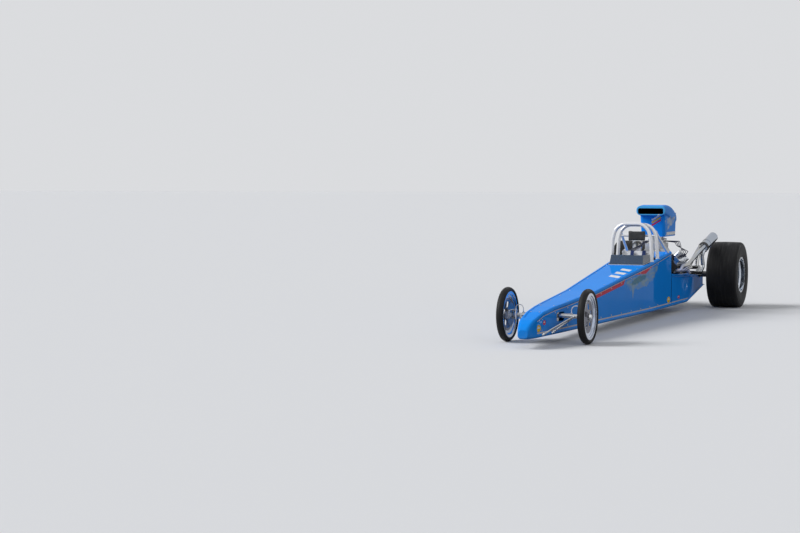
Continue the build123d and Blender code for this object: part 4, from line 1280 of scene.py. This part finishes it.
STEEL = BrushedMetal("fastener_steel", (0.46, 0.47, 0.48), roughness=0.28, stretch=(60, 60, 60))
BRIGHT = BrushedMetal("bright_fittings", (0.62, 0.63, 0.65), roughness=0.16, stretch=(60, 60, 60))
BLACK_METAL = Finish("black_fittings", (0.014, 0.014, 0.015), roughness=0.4, coat=0.2)
WHITE_PAINT = Finish("white_fittings", (0.70, 0.71, 0.72), roughness=0.4, coat=0.3)
GRIP_RUBBER = Finish("grip_rubber", (0.014, 0.014, 0.015), roughness=0.8, grain=240.0, grain_depth=0.0008)
WEBBING = Woven("belt_webbing", (0.012, 0.030, 0.120))
PAD_VINYL = Vinyl("pad_vinyl", (0.018, 0.019, 0.022))


@dataclass(frozen=True)
class DialFace(Finish):
    """A dial's face: ticks all round, longer at each third, and a red pointer."""

    roughness: float = 0.4
    pointer: float = 2.2

    def work(self, recipe: Recipe) -> None:
        """Draw by the angle and reach on the face's own map.

        Args:
            recipe: The material in the making.
        """
        across, up, _ = recipe.parts(recipe.node("ShaderNodeUVMap"))
        across, up = across - 0.5, up - 0.5
        reach, turn = recipe.reach(across, up), recipe.math("ARCTAN2", across, up)
        fine = recipe.math("COSINE", turn * 24.0).rises(0.80, 0.92) * reach.rises(0.40, 0.41)
        long = recipe.math("COSINE", turn * 8.0).rises(0.93, 0.97) * reach.rises(0.33, 0.34)
        ticks = recipe.math("MAXIMUM", fine, long) * reach.rises(0.46, 0.455) * abs(turn).rises(2.5, 2.45)
        cosine, sine = math.cos(self.pointer), math.sin(self.pointer)
        lean_across = across * cosine - up * sine
        lean_up = across * sine + up * cosine
        hand = abs(lean_across).rises(0.020, 0.014) * lean_up.rises(-0.08, -0.07) * lean_up.rises(0.37, 0.36)
        colour = recipe.mix(ticks, self.colour, (0.75, 0.75, 0.72))
        colour = recipe.mix(hand, colour, (0.70, 0.03, 0.02))
        recipe.set(base_color=colour, roughness=self.roughness + 0.1 * recipe.noise(60.0))


def on_side(side: Side, points: Sequence[Point]) -> list[Vector]:
    """Points of the left side, brought to one side of the car."""
    return [at(side.value * out, back, height) for out, back, height in points]


@dataclass
class WheelTrim:
    """What is bolted to one wheel: hub cap, wheel bolts, rim screws and the valve."""

    side: Side
    name: str
    out: float
    back: float
    height: float
    face: float
    hub_face: float
    bolt_circle: float
    bolt_radius: float
    bolts: int
    cap: tuple[tuple[float, float], ...]
    screw_circle: float = 0.0
    screw_face: float = 0.0
    screws: int = 0
    screw_radius: float = 0.0055
    screw_height: float = 0.004
    valve_circle: float = 0.20
    valve_face: float = 0.02

    @property
    def centre(self) -> Vector:
        """The wheel's centre."""
        return at(self.side.value * self.out, self.back, self.height)

    @property
    def way(self) -> Vector:
        """Outwards along the axle."""
        return Vector((self.side.value, 0, 0))

    def circle(self, reach: float, face: float, count: int, phase: float = 0.0) -> list[Matrix]:
        """Places round the axle, facing outwards.

        Args:
            reach: Their distance from the axle.
            face: How far outside the wheel's middle they lie.
            count: How many there are.
            phase: The angle of the first.

        Returns:
            The places.
        """
        places = []
        for index in range(count):
            turn = phase + 2 * math.pi * index / count
            arm = Vector((0, math.sin(turn), math.cos(turn))) * reach
            places.append(placed(self.centre + self.way * face + arm, self.way))
        return places

    def build(self) -> None:
        """Make the fittings and let them turn with the wheel."""
        word = self.side.word
        body = f"{self.name}_wheel_{word}"
        made = Bench.copies(Bench.bolt(self.bolt_radius, self.bolt_radius * 1.2),
                            self.circle(self.bolt_circle, self.face, self.bolts, math.pi / self.bolts))
        if self.screws:
            spots = self.circle(self.screw_circle, self.screw_face, self.screws)
            made += Bench.copies(Bench.bolt(self.screw_radius, self.screw_height), spots)
        Bench.finish(made, f"{self.name}_wheel_bolts_{word}", STEEL, "bare_steel", body)
        place = placed(self.centre + self.way * self.hub_face, self.way)
        cap = Bench.moved(Bench.turned(self.cap, 40), place)
        Bench.finish([cap], f"{self.name}_hub_cap_{word}", BRIGHT, "polished_aluminium", body)
        spoke = Vector((0, -0.55, 0.835))
        place = self.centre + self.way * self.valve_face + spoke * self.valve_circle
        stem = Bench.turned(((0.0, -0.002), (0.005, -0.002), (0.005, 0.004), (0.0032, 0.006),
                             (0.0032, 0.020), (0.0042, 0.021), (0.0042, 0.028), (0.0, 0.029)), 14)
        Bench.moved(stem, placed(place, self.way * 0.75 - spoke * 0.65))
        Bench.finish([stem], f"{self.name}_valve_{word}", BLACK_METAL, "black_steel", body)


def wheel_trims() -> list[WheelTrim]:
    """The fittings of all four wheels.

    Returns:
        The front and rear trims of the left side, then of the right.
    """
    front_cap = ((0.0, 0.005), (0.0165, 0.005), (0.0165, 0.0), (0.030, 0.0), (0.030, 0.005),
                 (0.025, 0.010), (0.020, 0.022), (0.007, 0.026), (0.0, 0.026))
    rear_cap = ((0.0, 0.0005), (0.030, 0.0005), (0.030, 0.004), (0.024, 0.008), (0.024, 0.022),
                (0.020, 0.026), (0.0, 0.027))
    made = []
    for side in Side:
        made.append(WheelTrim(
            side, "front", out=FRONT_OUT, back=0.0, height=0.280, face=0.0112, hub_face=0.0185,
            bolt_circle=0.047, bolt_radius=0.0065, bolts=5, cap=front_cap, valve_circle=0.2105,
            valve_face=0.020))
        made.append(WheelTrim(
            side, "rear", out=REAR_OUT, back=5.715, height=0.425, face=-0.0518, hub_face=-0.0282,
            bolt_circle=0.045, bolt_radius=0.010, bolts=5, cap=rear_cap, screw_circle=0.2215,
            screw_face=0.1832, screws=20, valve_circle=0.2085, valve_face=0.130))
    return made


@dataclass
class PanelFasteners:
    """Quarter-turn buttons along the edges of the body's panels."""

    radius: float = 0.0085
    height: float = 0.0024
    side_start: float = -0.46
    side_pitch: float = 0.36
    side_count: int = 12
    side_inset: float = 0.0058
    under_rail: float = 0.016
    over_foot: float = 0.026
    cowl_start: float = -0.40
    cowl_pitch: float = 0.40
    cowl_count: int = 9
    cowl_inset: float = 0.054
    cowl_rise: float = 0.0162
    step: float = 0.05

    def build(self) -> None:
        """Place the buttons on the side panels and on the cowl."""
        places = []
        for index in range(self.side_count):
            back = self.side_start + self.side_pitch * index
            lean = (half_width(back + self.step) - half_width(back)) / self.step
            high = on_line(UPPER_RAIL, back) - RAIL_RADIUS - self.under_rail
            for height in (high, PANEL_BOTTOM + self.over_foot):
                spot = at(half_width(back) - self.side_inset, back, height)
                places.append(placed(spot, Vector((1, -lean, 0))))
        for index in range(self.cowl_count):
            back = self.cowl_start + self.cowl_pitch * index
            rail = on_line(UPPER_RAIL, back)
            rise = (on_line(UPPER_RAIL, back + self.step) - rail) / self.step
            spot = at(half_width(back) - self.cowl_inset, back, rail + self.cowl_rise)
            places.append(placed(spot, Vector((0, -rise, 1))))
        made = Bench.copies(Bench.button(self.radius, self.height), both_sides(places))
        Bench.finish(made, "panel_fasteners", STEEL, "bare_steel")


@dataclass
class CageTrim:
    """Weld beads where the cage stands on the rails, and the rim strip along the screen's base."""

    bead: float = 0.0038
    hoop_ring: float = 0.0222
    brace_ring: float = 0.0172
    bar_ring: float = 0.0168
    hoops: tuple[float, float] = (3.300, 3.570)
    strip_radius: float = 0.0032

    def build(self) -> None:
        """Make the beads and the strip."""
        beads = []
        for back in self.hoops:
            foot = at(0.2462, back, on_line(UPPER_RAIL, back) + 0.0195)
            beads += self.ring(self.hoop_ring, foot, Vector((-0.04, 0, 1)))
        brace_foot = at(0.253, 4.080, on_line(UPPER_RAIL, 4.080))
        brace_top = at(0.214, 3.570, 1.040)
        way = (brace_top - brace_foot).normalized()
        beads += self.ring(self.brace_ring, brace_foot + way * 0.040, way)
        beads += self.ring(self.brace_ring, brace_top - way * 0.026, way)
        for out in (-0.096, 0.096):
            for back, height in ((3.3205, 1.132), (3.5495, 1.117)):
                spot = at(out, back, height)
                beads += self.ring(self.bar_ring, spot, Vector((0, 1, -0.055)), both=False)
        Bench.finish(beads, "cage_welds", WHITE_PAINT, "white_paint")
        low = at(0.206, 3.0175, 0.6585)
        side = at(0.244, 3.262, 0.6900)
        flip = Vector((-1, 1, 1))
        points = [side * flip, low * flip, low, side]
        strip = Bench.pipe(points, self.strip_radius, smooth=False, sides=2)
        Bench.finish([strip], "screen_strip", WHITE_PAINT, "white_paint")

    def ring(self, radius: float, place: Vector, way: Vector, both: bool = True) -> list[Piece]:
        """A bead round a tube.

        Args:
            radius: The tube's radius.
            place: The bead's middle.
            way: The tube's direction.
            both: Whether its twin on the car's other side is made too.

        Returns:
            The beads.
        """
        Bench.clear()
        bpy.ops.mesh.primitive_torus_add(major_radius=radius, minor_radius=self.bead, major_segments=40,
                                         minor_segments=8)
        spot = placed(place, way)
        return Bench.copies(bpy.context.object, both_sides([spot]) if both else [spot])


@dataclass
class Cockpit:
    """Dials and switches, steering wheel grips, belts and padding."""

    dash_face: float = 3.0421
    # columns: out, height, radius, where its pointer stands
    dials: tuple[tuple[float, float, float, float], ...] = (
        (-0.150, 0.600, 0.024, 0.8), (-0.080, 0.598, 0.033, -1.1),
        (0.080, 0.598, 0.033, 1.9), (0.150, 0.600, 0.024, -0.4))
    switches: int = 5
    switch_start: float = 0.075
    switch_pitch: float = 0.024
    switch_height: float = 0.538
    wheel_centre: Point = (0.0, 3.195, 0.620)
    wheel_lean: float = 20.0
    wheel_radius: float = 0.118
    grip_radius: float = 0.0132
    seat_foot: tuple[float, float] = (3.380, 0.1375)
    seat_head: tuple[float, float] = (3.650, 0.800)
    pressure: float = 4.0
    puff_frames: int = 20
    stuffing: float = 0.006
    seam: float = 0.010
    seam_depth: float = 0.30
    belt_half: float = 0.022
    belt_thickness: float = 0.0024
    belt_out: float = 0.072

    def build(self) -> None:
        """Make all of it."""
        self.build_dials()
        self.build_switches()
        self.build_grips()
        self.build_padding()
        self.build_belts()

    def build_dials(self) -> None:
        """Dials in chromed rims on the dash."""
        rims = []
        for index, (out, height, radius, pointer) in enumerate(self.dials):
            place = placed(at(out, self.dash_face, height), REARWARD)
            glass = radius * 0.86
            rim = Bench.turned(((0.0, 0.0), (radius, 0.0), (radius, 0.010), (radius * 0.93, 0.0125),
                                (glass, 0.0095), (0.0, 0.0092)), 40)
            rims.append(Bench.moved(rim, place))
            Bench.clear()
            bpy.ops.mesh.primitive_cylinder_add(vertices=40, radius=glass, depth=0.0008)
            face = Bench.settle(bpy.context.object)
            self.spread_map(face, glass)
            Bench.moved(face, place @ Matrix.Translation(UP * 0.0098))
            look = DialFace(f"dial_face_{index}", (0.008, 0.008, 0.009), pointer=pointer)
            Bench.finish([face], f"dial_{index}", look, "black_steel")
        Bench.finish(rims, "dial_rims", BRIGHT, "chrome")

    @staticmethod
    def spread_map(face: Piece, radius: float) -> None:
        """Lay the map flat over the face, from 0 to 1 across it.

        Args:
            face: The dial's face.
            radius: Its radius.
        """
        chart = face.data.uv_layers.active.data
        for loop in face.data.loops:
            spot = face.data.vertices[loop.vertex_index].co
            chart[loop.index].uv = (0.5 - spot.x / (2 * radius), 0.5 + spot.y / (2 * radius))

    def build_switches(self) -> None:
        """A row of toggle switches under the dials."""
        made = []
        for index in range(self.switches):
            out = self.switch_start + self.switch_pitch * index
            place = placed(at(out, self.dash_face, self.switch_height), REARWARD)
            nut = Bench.drum(0.0075, 0.004, 6, edge=0.0006)
            lever = Bench.turned(((0.0, 0.003), (0.0024, 0.003), (0.0020, 0.014), (0.0032, 0.020),
                                  (0.0, 0.023)), 12)
            Bench.moved(lever, Matrix.Rotation(math.radians(-16), 4, "X"))
            made.append(Bench.moved(Bench.join([nut, lever]), place))
        Bench.finish(made, "dash_switches", BRIGHT, "chrome")

    def build_grips(self) -> None:
        """Rubber sleeves over both horns of the steering wheel."""
        lean = math.radians(self.wheel_lean)
        centre = at(*self.wheel_centre)
        across = LEFTWARD * self.wheel_radius
        down = Vector((0, math.sin(lean), -math.cos(lean))) * self.wheel_radius
        made = []
        for side in Side:
            turns = [math.radians(step) for step in range(-40, 41, 8)]
            arc = [centre + side.value * across * math.cos(turn) + down * math.sin(turn) for turn in turns]
            made.append(Bench.pipe(arc, self.grip_radius, sides=5))
        Bench.finish(made, "steering_grips", GRIP_RUBBER, "tyre_rubber", "steering_wheel")
        way = Vector((0, math.cos(lean), math.sin(lean)))
        spokes = [LEFTWARD * side.value * spot for side in Side for spot in (0.045, 0.075)]
        places = [placed(centre + spot + way * 0.0031, way) for spot in spokes]
        bolts = Bench.copies(Bench.bolt(0.0045, 0.004), places)
        button = Bench.turned(((0.0, 0.0), (0.022, 0.0), (0.022, 0.004), (0.012, 0.008), (0.0, 0.009)), 32)
        Bench.moved(button, placed(centre + way * 0.0112, way))
        Bench.finish([*bolts, button], "steering_wheel_bolts", STEEL, "bare_steel", "steering_wheel")

    def back_way(self) -> tuple[Vector, Vector]:
        """Along the seat's back and out of its face."""
        along = (at(0, *self.seat_head) - at(0, *self.seat_foot)).normalized()
        return along, Vector((0, -along.z, along.y))

    def build_padding(self) -> None:
        """Seat cushion, back cushion and headrest, stuffed like the real ones."""
        along, out = self.back_way()
        back_place = Matrix.Translation(at(0, *self.seat_foot) + along * 0.400 + out * 0.021)
        back_place = back_place @ Matrix.Rotation(-math.atan2(along.y, along.z), 4, "X")
        made = [self.cushion((0.312, 0.360, 0.026), Matrix.Translation(at(0, 3.135, 0.1545))),
                self.cushion((0.312, 0.026, 0.500), back_place),
                self.cushion((0.206, 0.040, 0.118), Matrix.Translation(at(0, 3.5315, 0.985)))]
        pads = Bench.finish(made, "seat_cushions", PAD_VINYL, "pad_fabric", angle=60.0)
        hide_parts("seat_pads")

    def cushion(self, size: Point, place: Matrix) -> Piece:
        """One stuffed pad with channels sewn across it.

        Args:
            size: Its size before it is stuffed.
            place: Where it lies.

        Returns:
            The pad.
        """
        pad = Bench.slab(size, 0.010, 3)
        Bench.modify(pad, "REMESH", mode="VOXEL", voxel_size=0.006)
        rest = [point.co.copy() for point in pad.data.vertices]
        cloth = pad.modifiers.new("Stuffing", "CLOTH")
        cloth.settings.use_pressure = True
        cloth.settings.uniform_pressure_force = self.pressure
        cloth.settings.effector_weights.gravity = 0.0
        for frame in range(1, self.puff_frames + 1):
            bpy.context.scene.frame_set(frame)
        Bench.pick(pad)
        bpy.ops.object.modifier_apply(modifier=cloth.name)
        bpy.context.scene.frame_set(1)
        for point, start in zip(pad.data.vertices, rest):
            move = point.co - start
            if move.length > self.stuffing:
                point.co = start + move * (self.stuffing / move.length)
        long_axis = 2 if size[2] > size[1] else 1
        thin_axis = 1 if long_axis == 2 else 2
        lanes = 5 if size[long_axis] > 0.3 else 1
        pitch = size[long_axis] / lanes
        for point in pad.data.vertices:
            phase = (point.co[long_axis] + size[long_axis] / 2) / pitch
            near = abs(phase - round(phase)) * pitch
            if 0 < round(phase) < lanes and near < self.seam:
                point.co[thin_axis] *= 1 - self.seam_depth * (1 - near / self.seam)
        Bench.modify(pad, "SUBSURF", levels=1, render_levels=1)
        return Bench.moved(pad, place)

    def build_belts(self) -> None:
        """Shoulder and lap belts that meet in a round buckle."""
        along, out = self.back_way()
        foot = at(0, *self.seat_foot)
        # columns: out, back, height
        shoulder = ((0.058, 3.335, 0.205), (0.038, 3.270, 0.1865), (0.022, 3.225, 0.1855))
        lap = ((0.180, 3.330, 0.232), (0.165, 3.300, 0.200), (0.130, 3.265, 0.1875), (0.070, 3.228, 0.1862),
               (0.024, 3.215, 0.1862))
        lean = Matrix.Rotation(-math.atan2(along.y, along.z), 4, "X")
        belts, sliders = [], []
        for side in Side:
            shift = foot + LEFTWARD * (side.value * self.belt_out)
            down = [shift + along * far + out * 0.0435 for far in (0.705, 0.62, 0.50, 0.38, 0.26, 0.17)]
            runs = ((down + on_side(side, shoulder), LEFTWARD), (on_side(side, lap), REARWARD))
            belts += [Bench.strap(points, across * self.belt_half, self.belt_thickness)
                      for points, across in runs]
            slider = Bench.slab((0.056, 0.010, 0.030), 0.002)
            place = Matrix.Translation(shift + along * 0.44 + out * 0.0455)
            sliders.append(Bench.moved(slider, place @ lean))
        Bench.finish(belts, "belts", WEBBING, "pad_fabric")
        lock = Bench.turned(((0.0, 0.0), (0.030, 0.0), (0.030, 0.008), (0.026, 0.012), (0.012, 0.013),
                             (0.010, 0.017), (0.0, 0.018)), 36)
        Bench.moved(lock, at(0, 3.215, 0.1875))
        Bench.finish([lock, *sliders], "belt_buckle", BRIGHT, "polished_aluminium")


@dataclass
class EngineTrim:
    """Bolts, breathers, clamps and linkage of the engine."""

    front: float = 4.232
    length: float = 0.560
    crank: float = 0.400
    cover_foot: float = 0.3797
    cover_half: float = 0.071
    cover_bolt_pitch: float = 0.1175
    ports: tuple[float, ...] = (4.326, 4.450, 4.574, 4.698)
    carburettor_backs: tuple[float, float] = (4.412, 4.612)

    def on_bank(self, along: float, across: float, back: float) -> Vector:
        """A point on the left bank.

        Args:
            along: Its distance from the crank along the bank.
            across: Its distance outwards from the bank's middle.
            back: Its place behind the front axle.

        Returns:
            The point.
        """
        lean = math.sqrt(0.5)
        return at((along + across) * lean, back, self.crank + (along - across) * lean)

    def build(self) -> None:
        """Make all of it."""
        self.build_bolts()
        self.build_breathers()
        self.build_collar()
        self.build_linkage()

    def build_bolts(self) -> None:
        """Bolts on covers, header flanges, gearbox and carburettors."""
        up, down = Vector((1, 0, 1)), Vector((1, 0, -1))
        small, large = [], []
        for step in range(5):
            back = self.front + 0.045 + self.cover_bolt_pitch * step
            small += [placed(self.on_bank(self.cover_foot, across, back), up)
                      for across in (-self.cover_half, self.cover_half)]
        flange = self.on_bank(0.305, 0.1154, 0.0)
        for port in self.ports:
            for end in (-1, 1):
                spot = flange + up.normalized() * (0.024 * end) + REARWARD * (port + 0.037 * end)
                large.append(placed(spot, down))
        small, large = both_sides(small), both_sides(large)
        # columns: place behind the engine, radius of the bolt circle, bolts
        for behind_it, radius, count in ((0.0306, 0.1870, 16), (0.3206, 0.1270, 8)):
            back = self.front + self.length + behind_it
            for index in range(count):
                turn = 2 * math.pi * (index + 0.5) / count
                spot = at(radius * math.sin(turn), back, self.crank + radius * math.cos(turn))
                large.append(placed(spot, REARWARD))
        for place in self.carburettor_backs:
            small += [placed(at(out, place + ahead, 0.8803), UP)
                      for out in (-0.067, 0.067) for ahead in (-0.060, 0.060)]
            small += [placed(at(out, place + end * 0.0691, height), Vector((0, end, 0)))
                      for end in (-1, 1) for out in (-0.046, 0.046) for height in (0.890, 0.920)]
        made = Bench.copies(Bench.bolt(0.0042, 0.0045), small)
        made += Bench.copies(Bench.bolt(0.0062, 0.007), large)
        Bench.finish(made, "engine_bolts", STEEL, "bare_steel")

    def build_breathers(self) -> None:
        """A pale pleated breather on each valve cover, and a filler cap behind."""
        up = Vector((1, 0, 1))
        breather = Bench.turned(((0.0, 0.0), (0.034, 0.0), (0.034, 0.005), (0.031, 0.006), (0.031, 0.030),
                                 (0.034, 0.031), (0.034, 0.036), (0.026, 0.041), (0.0, 0.042)), 36)
        place = placed(self.on_bank(0.4838, -0.012, self.front + 0.042), up)
        made = Bench.copies(breather, both_sides([place]))
        Bench.finish(made, "valve_cover_breathers", WHITE_PAINT, "white_paint")
        cap = Bench.turned(((0.0, 0.0), (0.024, 0.0), (0.024, 0.008), (0.020, 0.012), (0.0, 0.013)), 32)
        wing = Bench.slab((0.040, 0.008, 0.012), 0.002)
        Bench.moved(wing, (0, 0, 0.018))
        cap = Bench.moved(Bench.join([cap, wing]), placed(self.on_bank(0.4320, 0.0, self.front + 0.500), up))
        Bench.finish([cap], "filler_cap", BRIGHT, "chrome")

    def build_collar(self) -> None:
        """A dark clamp round the front of each collector."""
        start, end = at(0.430, 5.197, 0.786), at(0.500, 5.494, 0.924)
        collar = Bench.turned(((0.0622, 0.004), (0.0662, 0.004), (0.0662, 0.010), (0.0645, 0.011),
                               (0.0645, 0.036), (0.0662, 0.037), (0.0662, 0.043), (0.0622, 0.043),
                               (0.0622, 0.004)), 48)
        made = Bench.copies(collar, both_sides([placed(start, end - start)]))
        Bench.finish(made, "collector_clamps", BLACK_METAL, "black_steel")

    def build_linkage(self) -> None:
        """The rod that opens both carburettors together, with its arms."""
        rod = [Bench.pipe([at(0.094, 4.395, 0.902), at(0.094, 4.632, 0.902)], 0.0032, smooth=False, sides=3)]
        for back in self.carburettor_backs:
            arm = Bench.slab((0.004, 0.012, 0.034), 0.001)
            Bench.moved(arm, at(0.0905, back, 0.893))
            pin = Bench.pipe([at(0.070, back, 0.882), at(0.094, back, 0.882)], 0.004, smooth=False, sides=3)
            rod += [arm, pin]
        Bench.finish(rod, "throttle_linkage", BRIGHT, "bare_steel")


@dataclass
class BrakeHoses:
    """A flexible hose from the axle to the top of each kingpin, and the hard lines on both sides of it."""

    diameter: float = 0.008
    length: float = 0.173
    route: tuple[Point, ...] = (
        (0.2550, 0.000, 0.3040), (0.2550, 0.000, 0.3200), (0.2555, 0.002, 0.3480), (0.2700, 0.006, 0.3740),
        (0.2960, 0.009, 0.3850), (0.3220, 0.008, 0.3810), (0.3370, 0.004, 0.3640), (0.3380, 0.000, 0.3500),
        (0.3380, 0.000, 0.3395))
    axle_line: tuple[Point, ...] = ((0.244, 0.0, 0.3045), (0.230, 0.0, 0.3030), (0.180, 0.0, 0.3022),
                                    (0.136, 0.0, 0.3022))
    caliper_line: tuple[Point, ...] = (
        (0.3380, -0.004, 0.3335), (0.3420, -0.022, 0.3335), (0.3560, -0.048, 0.3335),
        (0.3760, -0.072, 0.3300), (0.3800, -0.088, 0.3240), (0.3800, -0.096, 0.3185))
    line_radius: float = 0.0026
    axle_fitting: Point = (0.2550, 0.0, 0.3030)
    kingpin_fitting: Point = (0.3380, 0.0, 0.3282)
    caliper_fitting: Point = (0.3800, -0.096, 0.3182)

    def build(self) -> None:
        """Make the hose, its fittings and the hard lines of each side."""
        for side in Side:
            self.build_hose(side)
            self.build_fittings(side)

    def build_hose(self, side: Side) -> None:
        """One smooth hose between its two fittings.

        Args:
            side: The side of the car.
        """
        points = on_side(side, self.route)
        hose = Bench.curve(f"brake_hose_{side.word}", points, self.diameter / 2, steps=10)
        hose.data.materials.append(WHITE_PAINT.material())
        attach(hose, "root")

    def build_fittings(self, side: Side) -> None:
        """The axle's fitting with its hard line, and the kingpin's with the line to the caliper.

        Args:
            side: The side of the car.
        """
        foot, top, end = on_side(side, (self.axle_fitting, self.kingpin_fitting, self.caliper_fitting))
        block = Bench.moved(Bench.slab((0.022, 0.018, 0.010), 0.002), foot)
        nut = Bench.moved(Bench.drum(0.0068, 0.010, 6, edge=0.0008), foot + UP * 0.004)
        line = Bench.pipe(on_side(side, self.axle_line), self.line_radius, sides=3)
        Bench.finish([block, nut, line], f"hose_fittings_{side.word}", BRIGHT, "bare_steel")
        banjo = Bench.moved(Bench.drum(0.0085, 0.0105, 6, edge=0.0008), top)
        union = Bench.moved(Bench.drum(0.0060, 0.008, 6, edge=0.0006), end)
        pipe = Bench.pipe(on_side(side, self.caliper_line), self.line_radius, sides=3)
        Bench.finish([banjo, union, pipe], f"caliper_line_{side.word}", BRIGHT, "bare_steel",
                     f"knuckle_{side.word}")


@dataclass
class StrutEnds:
    """The threaded ends of the axle's struts: a lock nut on each tube and a bolted eye at its foot."""

    feet: tuple[float, ...] = (-0.470, -0.200)
    axle_point: Point = (0.292, 0.0, 0.280)
    rail_height: float = 0.120
    nut_reach: float = 0.052
    eye_reach: float = 0.026
    eye_height: float = 0.020

    def build(self) -> None:
        """Make the four ends."""
        head = at(*self.axle_point)
        nuts, eyes = [], []
        for back in self.feet:
            foot = at(half_width(back) - 0.2 * RAIL_RADIUS, back, self.rail_height)
            way = (head - foot).normalized()
            nuts.append(placed(foot + way * self.nut_reach, way))
            eyes.append(placed(foot + way * self.eye_reach - UP * self.eye_height / 2, UP))
        nut = Bench.drum(0.0145, 0.012, 6, edge=0.0012)
        top = self.eye_height
        eye = Bench.turned(((0.0, 0.0), (0.013, 0.0), (0.015, 0.003), (0.015, top - 0.003), (0.013, top),
                            (0.0, top)), 28)
        bolt = Bench.moved(Bench.bolt(0.0062, 0.006), UP * top)
        made = Bench.copies(nut, both_sides(nuts)) + Bench.copies(Bench.join([eye, bolt]), both_sides(eyes))
        Bench.finish(made, "strut_ends", BRIGHT, "bare_steel")


@dataclass
class ScoopTrim:
    """Screws along both sides of the scoop's foot."""

    start: float = 4.360
    pitch: float = 0.095
    count: int = 6
    out: float = 0.1508
    height: float = 0.972
    lean: float = 0.035

    def build(self) -> None:
        """Place the screws on both sides."""
        backs = [self.start + self.pitch * index for index in range(self.count)]
        way = Vector((1, 0, -self.lean))
        places = [placed(at(self.out, back, self.height), way) for back in backs]
        made = Bench.copies(Bench.button(0.006, 0.0022), both_sides(places))
        Bench.finish(made, "scoop_screws", STEEL, "bare_steel")


def main() -> None:
    """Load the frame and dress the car."""
    logging.basicConfig(level=logging.INFO, format="%(message)s")
    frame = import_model()
    Studio().build()
    Paintwork().build(frame["nodes"])
    for trim in (*wheel_trims(), PanelFasteners(), CageTrim(), Cockpit(), EngineTrim(), BrakeHoses(),
                 StrutEnds(), ScoopTrim()):
        trim.build()


if __name__ == "__main__":
    main()
